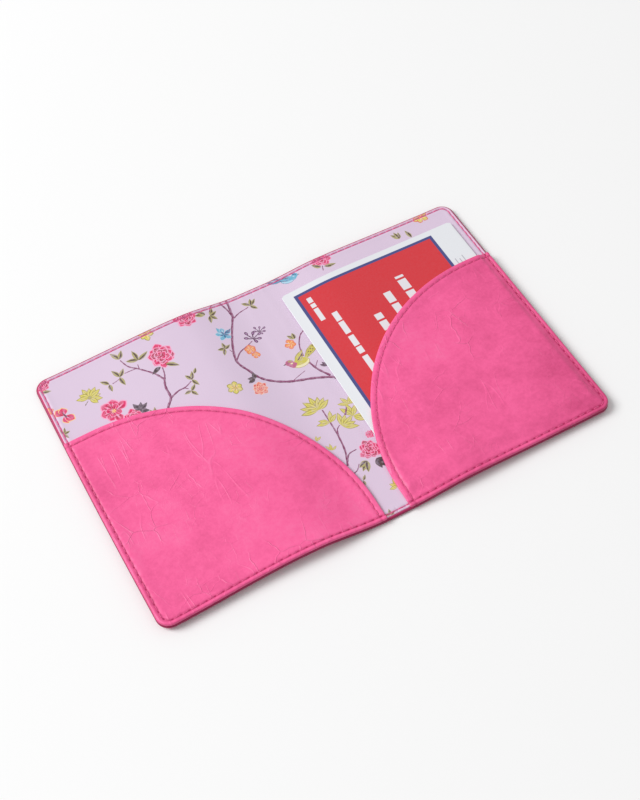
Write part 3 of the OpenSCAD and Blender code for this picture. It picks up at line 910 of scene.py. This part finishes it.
def lining_plan(side):
    """Half of the lining as triangles and the ink of each: the motifs, the outline of the half, a
    plain grid of points inside, and closer rings of points along the edge where the seam puckers."""
    flip = np.array([side, 1])
    keep = [(outline, colour) for outline, colour in PRINT if (outline[:, 0] * side).max() > -1 * MM]
    per_stitch = 7
    run = np.arange(0.5, STITCHES * per_stitch) / (STITCHES * per_stitch) * QUARTER_RUN
    rings = []
    for gap in (0.0, 0.12, 0.35, 0.6, 0.9, 1.2, 1.45, 1.75, 2.2, 2.8, 3.6):
        ring_x, ring_y, turn = seam_point(run)
        off = SEAM_IN - LINING_IN - gap * MM
        ring = np.stack([ring_x + off * np.sin(turn), ring_y - off * np.cos(turn)], -1)
        rings.append(ring[ring[:, 0] > 0.05 * MM])
    top = EDGE_Y - LINING_IN
    upper = np.concatenate([rings[0], [[0, top]]])
    middle = np.stack([np.zeros(80), np.linspace(top, -top, 82)[1:-1]], -1)
    outline = np.concatenate([(upper * (1, -1))[::-1], upper, middle]) * flip
    outline = outline[::side]
    grid_x, grid_y = np.meshgrid(
        np.arange(0.8, EDGE_X / MM, 1.5), np.arange(-EDGE_Y / MM + 0.4, EDGE_Y / MM, 1.5)
    )
    fill = np.stack([grid_x.ravel(), grid_y.ravel()], -1) * MM
    fill = fill[inset(fill[:, 0], fill[:, 1]) > LINING_IN + 4.4 * MM]
    loose = np.concatenate([fill, *rings[1:], *[ring * (1, -1) for ring in rings[1:]]]) * flip
    shapes = [outline] + [shape for shape, colour in keep]
    inks = np.array([LILAC] + [colour for shape, colour in keep])
    starts = np.cumsum([0] + [len(shape) for shape in shapes])
    faces = [list(range(a, b)) for a, b in zip(starts[:-1], starts[1:])]
    points = np.concatenate([*shapes, loose])
    found = delaunay_2d_cdt([Vector(point) for point in points.tolist()], [], faces, 1, 1e-7)
    inside = [(face, max(given)) for face, given in zip(found[2], found[5]) if 0 in given]
    flat = np.array([point.to_tuple() for point in found[0]])
    triangles = np.array([face for face, last in inside])
    colours = inks[np.array([last for face, last in inside])]
    used, triangles = np.unique(triangles, return_inverse=True)
    return flat[used, 0], flat[used, 1], triangles.reshape(-1, 3), colours


def make_lining_material():
    """The lining's ink, washed unevenly like watercolour, over a fine smooth grain. Outside the seam
    the sheet is tinted pink: the pink rim showing through the thin sheet, and a painted reflection of it."""
    material, tree, shader = new_material("printed lining")
    place = add(tree, "ShaderNodeTexCoord").outputs["Object"]
    print_ink = add(tree, "ShaderNodeAttribute", attribute_name="ink")
    wash = noise(tree, place, 700, 4)
    soft = noise(tree, place, 60, 2)
    strength = math_node(tree, "MULTIPLY", step_up(tree, wash.outputs[0], 0.40, 0.75), 0.34)
    washed = mix(tree, strength, print_ink.outputs["Color"], LILAC)
    aged = mix(tree, math_node(tree, "MULTIPLY", soft.outputs[0], 0.10), washed, ink(240, 214, 232))
    holes = add_holes(tree, "seam")
    off = add(tree, "ShaderNodeAttribute", attribute_name="seam_off")
    band = step_up(tree, off.outputs["Fac"], -0.2, -1.2)
    colour = aged
    for where, strength, shade in (
        # Outside the seam: pink tint, partly the rim showing through, partly a painted reflection of the
        # pink leather.
        (band, 0.22, ink(238, 96, 158)),
        (holes.outputs["Line"], 0.62, ink(222, 120, 172)),
        # Painted shade: each needle hole is darkened.
        (holes.outputs["Hole"], 0.6, ink(160, 40, 108)),
    ):
        colour = mix(tree, math_node(tree, "MULTIPLY", where, strength), colour, shade)
    tree.links.new(colour, shader.inputs["Base Color"])
    rough = math_node(tree, "MULTIPLY_ADD", soft.outputs[0], 0.12, 0.42)
    tree.links.new(rough, shader.inputs["Roughness"])
    shader.inputs["Specular IOR Level"].default_value = 0.35
    weave = noise(tree, place, 2600, 2)
    emboss(tree, shader, weave.outputs[0], 0.012 * MM)
    emboss(tree, shader, soft.outputs[0], 0.12 * MM)
    return material


LINING_PRINT = make_lining_material()

for word, side in SIDES.items():
    x, y, faces, colours = lining_plan(side)
    lining = solid_from_plan(
        "printed_lining_" + word, x, y, faces, lining_top(x, y), lining_bottom(x, y), LINING_PRINT
    )
    blank = len(lining.data.polygons) - len(colours)
    every = np.concatenate([colours, np.tile(LILAC, (blank, 1))])
    corners = np.empty(len(lining.data.polygons), np.int32)
    lining.data.polygons.foreach_get("loop_total", corners)
    give(lining, "ink", np.repeat(every, corners, axis=0), "FLOAT_COLOR", "CORNER")
    record_seam(lining, "seam", seam_run(x, y) / PITCH, inset(x, y) - SEAM_IN)
    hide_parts("lining_" + word, "lining_spine")
    bend_at_crease(lining)

# ---- Pockets ----
# Each pocket is one piece of the same pink leather with its curved mouth hemmed under and its outer
# side and foot turned under and caught in the edge seam. The left one lies flat and the right one
# stands up over the card.
POCKET_IN = EDGE_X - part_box("pocket_right")[1].x
MOUTH_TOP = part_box("pocket_right")[1].y
MOUTH_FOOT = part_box("pocket_right")[0].x
MOUTH_R = 92 * MM
MOUTH_X = MOUTH_FOOT + MOUTH_R
MOUTH_Y = MOUTH_TOP - MOUTH_R
HEM_IN = 2.6 * MM
HEM_WIDE = 7 * MM
HEM_BEND = (MOUTH_R - HEM_IN) * math.pi / 2
HEM_START = EDGE_X - SEAM_IN - 0.6 * MM - MOUTH_X
HEM_RUN = HEM_START + HEM_BEND + EDGE_Y - SEAM_IN - 0.6 * MM + MOUTH_Y
HEM_STITCHES = round(HEM_RUN / STITCH_LONG)
HEM_PITCH = HEM_RUN / HEM_STITCHES
CARD_LOW, CARD_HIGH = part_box("insert_card")
ONE_LAYER, TURNED_LAYER = 0.62, 0.50


def from_mouth(x, y):
    """Distance into the pocket from its mouth: a level line, a quarter circle, then a line down to
    the foot beside the spine."""
    out = np.abs(x)
    curve = MOUTH_R - np.hypot(out - MOUTH_X, y - MOUTH_Y)
    return np.where(out > MOUTH_X, MOUTH_TOP - y, np.where(y < MOUTH_Y, out - MOUTH_FOOT, curve))


def hem_run(x, y):
    """Length of the hem seam from its outer end to the point nearest (x, y)."""
    out = np.abs(x)
    turn = np.clip(np.arctan2(MOUTH_X - out, y - MOUTH_Y), 0, math.pi / 2)
    straight = HEM_START - np.maximum(out - MOUTH_X, 0)
    return straight + (MOUTH_R - HEM_IN) * turn + np.maximum(MOUTH_Y - y, 0)


def hem_point(run):
    """The point of the hem seam at a run from its outer end, and its heading."""
    turn = np.clip((run - HEM_START) / (MOUTH_R - HEM_IN), 0, math.pi / 2)
    x = MOUTH_X + np.maximum(HEM_START - run, 0) - (MOUTH_R - HEM_IN) * np.sin(turn)
    y = MOUTH_Y + (MOUTH_R - HEM_IN) * np.cos(turn) - np.maximum(run - HEM_START - HEM_BEND, 0)
    return x, y, math.pi + turn


def pocket_levels(x, y):
    """Heights of the pocket's underside and face above the table. The underside lies on the lining
    along the sewn edges and rises beyond them, over the card on the right. The face is two layers
    thick along the sewn edges and under the hem, and is drawn down along both seams."""
    out = np.abs(x)
    d = inset(x, y) - POCKET_IN
    m = from_mouth(x, y)
    sewn = 1 - smooth(2.4 * MM, 8.5 * MM, d)
    hem = 1 - smooth(HEM_WIDE - 3.5 * MM, HEM_WIDE + 2 * MM, m)
    layers = ONE_LAYER + TURNED_LAYER * np.maximum(sewn, 0.8 * hem)
    away = np.maximum(np.maximum(CARD_LOW.x - out, out - CARD_HIGH.x), CARD_LOW.y - y)
    over = 1 - smooth(-1.5 * MM, 5.4 * MM, away)
    stands = np.where(x > 0, 1.18 * over + 0.14, 0.18) * smooth(2.8 * MM, 6.0 * MM, d)
    gape = np.where(x > 0, 0.05, 0.30) * (1 - smooth(0, 16 * MM, m)) * smooth(3 * MM, 20 * MM, d)
    billow = 0.16 * np.sin(out * 74 + y * 31 + 0.4) * np.sin(y * 66 - out * 24 + 1.1)
    billow = billow + 0.05 * np.sin(out * 190 - y * 140)
    billow = billow * smooth(5 * MM, 22 * MM, d) * smooth(4 * MM, 20 * MM, m)
    under = stands + gape + np.maximum(billow, -0.12) + 0.03
    seam = dip(d + POCKET_IN - SEAM_IN, 0.55 * MM) * (0.30 - 0.10 * puckers(x, y))
    puff = 0.18 * dip(d - 0.95 * MM, 0.8 * MM) + 0.05 * dip(d - 3.8 * MM, 1.0 * MM)
    hem_wave = -np.cos(2 * math.pi * hem_run(x, y) / HEM_PITCH)
    hem_seam = dip(m - HEM_IN, 0.6 * MM) * (0.20 - 0.08 * hem_wave)
    hem_puff = 0.09 * dip(m - 1.3 * MM, 0.9 * MM) + 0.06 * dip(m - 4.2 * MM, 1.2 * MM)
    gather = 0.05 * puckers(x, y) * dip(d - 1.3 * MM, 1.0 * MM)
    bottom = lining_top(x, y) + under * MM
    top = rest(x, y) + LINING_Z + (under + layers + puff + hem_puff + gather) * MM
    top = top - np.maximum(seam, hem_seam) * MM
    middle = (top + bottom) / 2
    round_it = round_edge(d, 0.65 * MM) * round_edge(m, 0.5 * MM)
    return middle - (middle - bottom) * round_it, middle + (top - middle) * round_it


def pocket_plan(side, along, across):
    """Points between the mouth and the outer edge: the two lines are cut into the same number of
    parts and straight rows of points join them, closer together near both lines."""
    s = crowded(0.003, 0.997, along, 0.35)[:, None]
    t = crowded(0, 1, across, 0.93)[None, :]
    flat = EDGE_X - POCKET_IN - MOUTH_X
    bend = MOUTH_R * math.pi / 2
    run = s * (flat + bend + EDGE_Y - POCKET_IN + MOUTH_Y)
    turn = np.clip((run - flat) / MOUTH_R, 0, math.pi / 2)
    mouth_x = MOUTH_X + np.maximum(flat - run, 0) - MOUTH_R * np.sin(turn)
    mouth_y = MOUTH_Y + MOUTH_R * np.cos(turn) - np.maximum(run - flat - bend, 0)
    radius = CORNER_R - POCKET_IN
    down = MOUTH_TOP + EDGE_Y - CORNER_R
    corner = radius * math.pi / 2
    run = s * (down + corner + EDGE_X - CORNER_R - MOUTH_FOOT)
    turn = np.clip((run - down) / radius, 0, math.pi / 2)
    edge_x = EDGE_X - CORNER_R + radius * np.cos(turn) - np.maximum(run - down - corner, 0)
    edge_y = MOUTH_TOP - np.minimum(run, down) - radius * np.sin(turn)
    x = (1 - t) * mouth_x + t * edge_x
    y = (1 - t) * mouth_y + t * edge_y
    return side * x.ravel(), y.ravel(), grid_faces(along, across)


POCKET_SEAMS = {"seam": 0.85, "hem": 0.45}
POCKET_LEATHER = leather(
    "pocket leather", creases=1.15, pebble=0.9, offset=(0.3, 0.1, 0), seams=POCKET_SEAMS
)

for word, side in SIDES.items():
    x, y, faces = pocket_plan(side, along=330, across=72)
    bottom, top = pocket_levels(x, y)
    pocket = solid_from_plan("pocket_" + word + "_leather", x, y, faces, top, bottom, POCKET_LEATHER)
    d, m = inset(x, y) - POCKET_IN, from_mouth(x, y)
    # Deeper pocket colour: along the seam and the hem, partly pressing and partly painted shade in their
    # grooves; painted shade along the very edge; painted shade growing towards the outer side of the right
    # pocket, where the light falls off; and darker towards the foot of the right pocket.
    deep = 0.30 * dip(d + POCKET_IN - SEAM_IN, 0.5 * MM) + 0.22 * dip(m - HEM_IN, 0.5 * MM)
    deep = deep + 0.2 * dip(d, 0.5 * MM) + 0.13 * smooth(0.55 * EDGE_X, EDGE_X, x)
    deep = deep + 0.08 * smooth(0, -EDGE_Y, y) * (x > 0)
    give(pocket, "press_and_painted_shade", np.tile(deep, 2))
    record_seam(pocket, "seam", seam_run(x, y) / PITCH, d + POCKET_IN - SEAM_IN)
    record_seam(pocket, "hem", hem_run(x, y) / HEM_PITCH, m - HEM_IN)
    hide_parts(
        *[part + word for part in ("pocket_", "pocket_side_edge_", "pocket_foot_edge_", "pocket_hem_")],
    )
    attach(pocket, word + "_panel")

# ---- Stitching ----
# Twisted pink polyester thread in a lockstitch: the needle thread shows on the inner face, the bobbin
# thread on the outer face, and they cross in the needle holes. Every stitch is one short bent strand
# whose ends go down into the leather.
THREAD_R = 0.24 * MM
THREAD_RISE = 0.34 * MM
TWIST_PER_MM = 9.0
STRAND_RINGS, RING_POINTS = 9, 8
STRAND_POINTS = STRAND_RINGS * RING_POINTS


def make_thread_material():
    """Dyed thread: two tones that wind round the strand with its twist, and a soft sheen."""
    material, tree, shader = new_material("pink thread")
    along = add(tree, "ShaderNodeAttribute", attribute_name="along")
    around = add(tree, "ShaderNodeAttribute", attribute_name="around")
    phase = math_node(tree, "MULTIPLY", around.outputs["Fac"], 2.0)
    phase = math_node(tree, "MULTIPLY_ADD", along.outputs["Fac"], TWIST_PER_MM, phase)
    twist = math_node(tree, "MULTIPLY_ADD", math_node(tree, "SINE", phase), 0.5, 0.5)
    tone = mix(tree, twist, ink(204, 38, 106), ink(238, 92, 152))
    tree.links.new(tone, shader.inputs["Base Color"])
    emboss(tree, shader, twist, 0.06 * MM)
    shader.inputs["Roughness"].default_value = 0.5
    shader.inputs["Sheen Weight"].default_value = 0.3
    return material


THREAD = make_thread_material()


def strands(point_at, pitch, count, side, mirror, surface, face=1):
    """One strand per stitch: nine rings of eight points on the seam's own curve. The strand's height
    above the leather is an arch, 1 - u^6, and its ends go down into the holes."""
    half = 0.39 * pitch
    u = np.linspace(-1, 1, STRAND_RINGS)
    run = (np.arange(count)[:, None] + 0.5) * pitch + u * half
    x, y, heading = point_at(run)
    arch = (1 - u**6) * THREAD_RISE - THREAD_R
    thick = THREAD_R * (1 - 0.35 * u**8)
    ring = np.arange(RING_POINTS)
    around = ring * 2 * math.pi / RING_POINTS - math.pi / 2
    lump = 1 + 0.10 * np.cos(2 * around + TWIST_PER_MM * u[:, None] * half / MM)
    across = thick[:, None] * lump * np.cos(around)
    up = 0.8 * thick[:, None] * lump * np.sin(around)
    px = (x[..., None] - np.sin(heading)[..., None] * across) * side
    py = (y[..., None] + np.cos(heading)[..., None] * across) * mirror
    px, py = relaxed(px, py)
    level = surface(x * side, y * mirror)[..., None] + face * (arch[:, None] + up)
    points = np.stack([px, py, np.broadcast_to(level, px.shape)], -1).reshape(-1, 3)
    first = np.arange(count)[:, None] * STRAND_POINTS
    at = first[..., None] + np.arange(STRAND_RINGS - 1)[:, None] * RING_POINTS
    beside = (ring + 1) % RING_POINTS
    corners = [at + ring, at + beside, at + RING_POINTS + beside, at + RING_POINTS + ring]
    quads = np.stack(corners, -1).reshape(-1, 4)
    ends = first + ring
    caps = np.concatenate([ends[:, ::-1], ends + STRAND_POINTS - RING_POINTS])
    if side * mirror * face > 0:
        quads, caps = quads[:, ::-1], caps[:, ::-1]
    shape = (count, STRAND_RINGS, RING_POINTS)
    length = np.broadcast_to((u * half / MM)[:, None], shape).ravel()
    angle = np.broadcast_to(around, shape).ravel()
    return points, quads, caps, length, angle


def sew(name, runs, nodes):
    """Joins several runs of strands into one piece."""
    points = np.concatenate([run[0] for run in runs])
    shift = np.cumsum([0] + [len(run[0]) for run in runs])
    quads = np.concatenate([run[1] + step for run, step in zip(runs, shift)])
    caps = np.concatenate([run[2] + step for run, step in zip(runs, shift)])
    piece = add_piece(name, points, [quads, caps], THREAD)
    give(piece, "along", np.concatenate([run[3] for run in runs]))
    give(piece, "around", np.concatenate([run[4] for run in runs]))
    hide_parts(*nodes)
    return piece


def inner_face(x, y):
    """Height of whatever lies uppermost along the seam: the pocket within its mouth, else the lining."""
    pocket_face = pocket_levels(x, y)[1]
    return np.where(from_mouth(x, y) > 0.1 * MM, pocket_face, lining_top(x, y))


for word, side in SIDES.items():
    quarters = [strands(seam_point, PITCH, STITCHES, side, mirror, inner_face) for mirror in (1, -1)]
    needle = sew("needle_thread_in_" + word, quarters, ("needle_thread_" + word, "needle_thread_spine"))
    bend_at_crease(needle)
    quarters = [strands(seam_point, PITCH, STITCHES, side, mirror, cover_bottom, -1) for mirror in (1, -1)]
    bobbin = sew("bobbin_thread_in_" + word, quarters, ("bobbin_thread_" + word, "bobbin_thread_spine"))
    bend_at_crease(bobbin)
    mouth = strands(hem_point, HEM_PITCH, HEM_STITCHES, side, 1, lambda x, y: pocket_levels(x, y)[1])
    hem = sew("hem_thread_in_" + word, [mouth], ("hem_thread_" + word,))
    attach(hem, word + "_panel")

# ---- Folded card ----
# A strip of white card folded twice into three leaves, standing in the right pocket. Its front is
# printed with a red field in a navy frame, and plain white bars stand in for the words.
CARD_UNDER = 0.46 * MM
CARD_THICK = 0.62 * MM
CARD_LEAF = 0.19 * MM
CARD_STEP = (CARD_THICK - CARD_LEAF) / 2
LEAF_STATIONS = 70


def card_line():
    """The strip seen from its end, as one centre line: three leaves joined by two half circles of
    fold. Returns x, the height above the lining, and the direction square to the line."""
    span = np.linspace(CARD_HIGH.x - CARD_STEP, CARD_LOW.x + CARD_STEP, LEAF_STATIONS)
    turn = np.linspace(0, math.pi, 9)[1:-1]
    fold_x, fold_z = CARD_STEP / 2 * np.sin(turn), CARD_STEP / 2 * (1 - np.cos(turn))
    leaf_one = np.full(span.size, CARD_LEAF / 2)
    leaf_two = leaf_one + CARD_STEP
    leaf_three = leaf_two + CARD_STEP
    x = np.concatenate([span, span[-1] - fold_x, span[::-1], span[0] + fold_x, span])
    z = np.concatenate([leaf_one, leaf_one[0] + fold_z, leaf_two, leaf_two[0] + fold_z, leaf_three])
    along_x, along_z = np.gradient(x), np.gradient(z)
    long = np.hypot(along_x, along_z)
    return x, z, -along_z / long, along_x / long


def make_card_material():
    """White card, and on its front the printed panel: masks of rectangles in the card's own place."""
    sides = ("Left", "Right", "Foot", "Top")
    rectangle, given, result = new_group(
        "printed rectangle",
        [("Vector", "Vector", None)] + [(label, "Float", 0.0) for label in sides],
        [("Mask", "Float")],
    )
    place = add(rectangle, "ShaderNodeSeparateXYZ", {0: given.outputs["Vector"]})
    mask = 1.0
    for axis, low, high in ((0, "Left", "Right"), (1, "Foot", "Top")):
        value = math_node(rectangle, "MULTIPLY", place.outputs[axis], 1 / MM)
        above = math_node(rectangle, "SUBTRACT", value, given.outputs[low])
        below = math_node(rectangle, "SUBTRACT", given.outputs[high], value)
        within = step_up(rectangle, math_node(rectangle, "MINIMUM", above, below), -0.05, 0.05)
        mask = math_node(rectangle, "MULTIPLY", mask, within)
    rectangle.links.new(mask, result.inputs["Mask"])

    material, tree, shader = new_material("printed card")
    place = add(tree, "ShaderNodeTexCoord").outputs["Object"]
    front = add(tree, "ShaderNodeAttribute", attribute_name="front").outputs["Fac"]

    def printed(*edges):
        """1 within a rectangle, given by its left, right, foot and top in mm, and 0 outside."""
        made = add(tree, "ShaderNodeGroup", {}, node_tree=rectangle)
        tree.links.new(place, made.inputs["Vector"])
        for label, value in zip(sides, edges):
            made.inputs[label].default_value = value
        return made.outputs["Mask"]

    white = ink(232, 234, 238)
    colour = mix(tree, printed(15.6, 91.4, -80, 54.2), white, ink(66, 70, 132))
    colour = mix(tree, printed(17.2, 89.8, -80, 52.7), colour, ink(214, 42, 50))
    bars = 0.0
    for left, right, top, foot in (
        (20.0, 22.4, 49.8, 46.6), (20.0, 22.4, 45.8, 43.4), (20.0, 22.4, 42.6, 34.8),
        (26.0, 28.8, 36.0, 30.4), (26.0, 28.8, 29.6, 22.0), (26.0, 28.8, 20.4, 14.0),
        (26.0, 28.8, 13.2, 9.2), (26.0, 28.8, 7.4, -8.0), (42.4, 46.2, 25.0, 21.4),
        (42.4, 46.2, 20.2, 14.6), (42.4, 46.2, 13.4, 4.0), (52.6, 56.4, 34.0, 27.4),
        (52.6, 56.4, 26.2, 10.0), (62.4, 66.8, 40.0, 38.6), (62.4, 66.8, 37.4, 31.0),
        (62.4, 66.8, 29.8, 16.0),
    ):
        bars = math_node(tree, "MAXIMUM", bars, printed(left, right, foot, top))
    colour = mix(tree, math_node(tree, "MULTIPLY", bars, 0.94), colour, white)
    lines = 0.0
    for left, right, top in ((93.6, 94.1, 36.0), (95.6, 96.1, 35.0), (97.6, 98.1, 36.4)):
        lines = math_node(tree, "MAXIMUM", lines, printed(left, right, 18, top))
    colour = mix(tree, math_node(tree, "MULTIPLY", lines, 0.5), colour, ink(110, 110, 128))
    colour = mix(tree, front, white, colour)
    fibre = noise(tree, place, 1300, 3)
    shade = mix(tree, math_node(tree, "MULTIPLY", fibre.outputs[0], 0.08), colour, ink(190, 190, 205))
    tree.links.new(shade, shader.inputs["Base Color"])
    emboss(tree, shader, fibre.outputs[0], 0.015 * MM)
    shader.inputs["Roughness"].default_value = 0.38
    shader.inputs["Specular IOR Level"].default_value = 0.4
    return material


line_x, line_z, square_x, square_z = card_line()
loop_x = np.stack([line_x + square_x * CARD_LEAF / 2, line_x - square_x * CARD_LEAF / 2])
loop_z = np.stack([line_z + square_z * CARD_LEAF / 2, line_z - square_z * CARD_LEAF / 2])
steps = np.linspace(0, 1, 25)[:, None, None]
nick = 1.6 * MM
from_end = np.clip(np.minimum(loop_x - CARD_LOW.x, CARD_HIGH.x - loop_x), 0, nick)
cut = nick - np.sqrt(nick**2 - (nick - from_end) ** 2)
card_y = (CARD_LOW.y + cut) + steps * (CARD_HIGH.y - CARD_LOW.y - 2 * cut)
card_x = np.broadcast_to(loop_x, card_y.shape)
card_z = rest(card_x, 0 * card_y) + LINING_Z + CARD_UNDER + loop_z


def card_quads(a, b, c, d):
    """Quads from four blocks of point numbers of the same shape."""
    return np.stack([a, b, c, d], -1).reshape(-1, 4)


at = np.arange(card_x.size).reshape(card_x.shape)
top_side, low_side = at[:, 0, :], at[:, 1, :]
outer = card_quads(top_side[:-1, :-1], top_side[:-1, 1:], top_side[1:, 1:], top_side[1:, :-1])
inner = card_quads(low_side[:-1, 1:], low_side[:-1, :-1], low_side[1:, :-1], low_side[1:, 1:])
ends = []
for end, flip in ((0, 1), (-1, -1)):
    upper, lower = top_side[end], low_side[end]
    ends.append(card_quads(upper[1:], upper[:-1], lower[:-1], lower[1:])[:, ::flip])
for end, flip in ((0, 1), (-1, -1)):
    upper, lower = top_side[:, end], low_side[:, end]
    ends.append(card_quads(upper[:-1], upper[1:], lower[1:], lower[:-1])[:, ::flip])
card_points = np.stack([card_x, card_y, card_z], -1).reshape(-1, 3)
card = add_piece("folded_card", card_points, [outer, inner, *ends], make_card_material())
facing = np.zeros(card_x.shape)
facing[:, 1, -LEAF_STATIONS:] = 1.0
give(card, "front", facing)
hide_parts("insert_card")
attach(card, "card")

# ---- Floor, light and camera ----
# A plain pale floor, one broad soft light from the upper left, and even pale light from all round.
world = bpy.data.worlds.new("studio")
bpy.context.scene.world = world
world.use_nodes = True
world.node_tree.nodes["Background"].inputs["Color"].default_value = (1, 1, 1, 1)
world.node_tree.nodes["Background"].inputs["Strength"].default_value = 0.50

FLOOR_REACH = 6.0
floor_paper, _, floor_shader = new_material("floor paper")
floor_shader.inputs["Base Color"].default_value = (0.94, 0.94, 0.94, 1)
floor_shader.inputs["Roughness"].default_value = 0.9
floor_shader.inputs["Specular IOR Level"].default_value = 0.1
floor_mesh = bpy.data.meshes.new("floor")
floor_corners = [(a * FLOOR_REACH, b * FLOOR_REACH, 0) for a, b in ((-1, -1), (1, -1), (1, 1), (-1, 1))]
floor_mesh.from_pydata(floor_corners, [], [(0, 1, 2, 3)])
floor_mesh.materials.append(floor_paper)
floor = bpy.data.objects.new("floor", floor_mesh)
bpy.context.scene.collection.objects.link(floor)

key_light = bpy.data.lights.new("key light", "AREA")
key_light.shape = "SQUARE"
key_light.size = 1.9
key_light.energy = 106
key_lamp = bpy.data.objects.new("key light", key_light)
key_lamp.location = (-2.3, 1.3, 2.5)
key_lamp.rotation_euler = (-key_lamp.location).to_track_quat("-Z", "Y").to_euler()
bpy.context.scene.collection.objects.link(key_lamp)

# The camera stands to the left of the foot of the spine and looks down on the wallet.
CAMERA_AZIMUTH = math.radians(-27.2)
CAMERA_ELEVATION = math.radians(56.0)
CAMERA_ROLL = math.radians(-2.0)
CAMERA_DISTANCE = 0.5933
CAMERA_LENS = 59.3
CAMERA_LOWER = 1.1 * MM
back = Vector(
    (
        math.sin(CAMERA_AZIMUTH) * math.cos(CAMERA_ELEVATION),
        -math.cos(CAMERA_AZIMUTH) * math.cos(CAMERA_ELEVATION),
        math.sin(CAMERA_ELEVATION),
    )
)
camera_data = bpy.data.cameras.new("camera")
camera_data.lens = CAMERA_LENS
camera = bpy.data.objects.new("camera", camera_data)
bpy.context.scene.collection.objects.link(camera)
turn = (-back).to_track_quat("-Z", "Y").to_matrix() @ Matrix.Rotation(CAMERA_ROLL, 3, "Z")
stand = back * CAMERA_DISTANCE - turn @ Vector((0, CAMERA_LOWER, 0))
camera.matrix_world = Matrix.Translation(stand) @ turn.to_4x4()
bpy.context.scene.camera = camera
bpy.context.scene.view_settings.view_transform = "Standard"

bpy.context.view_layer.update()
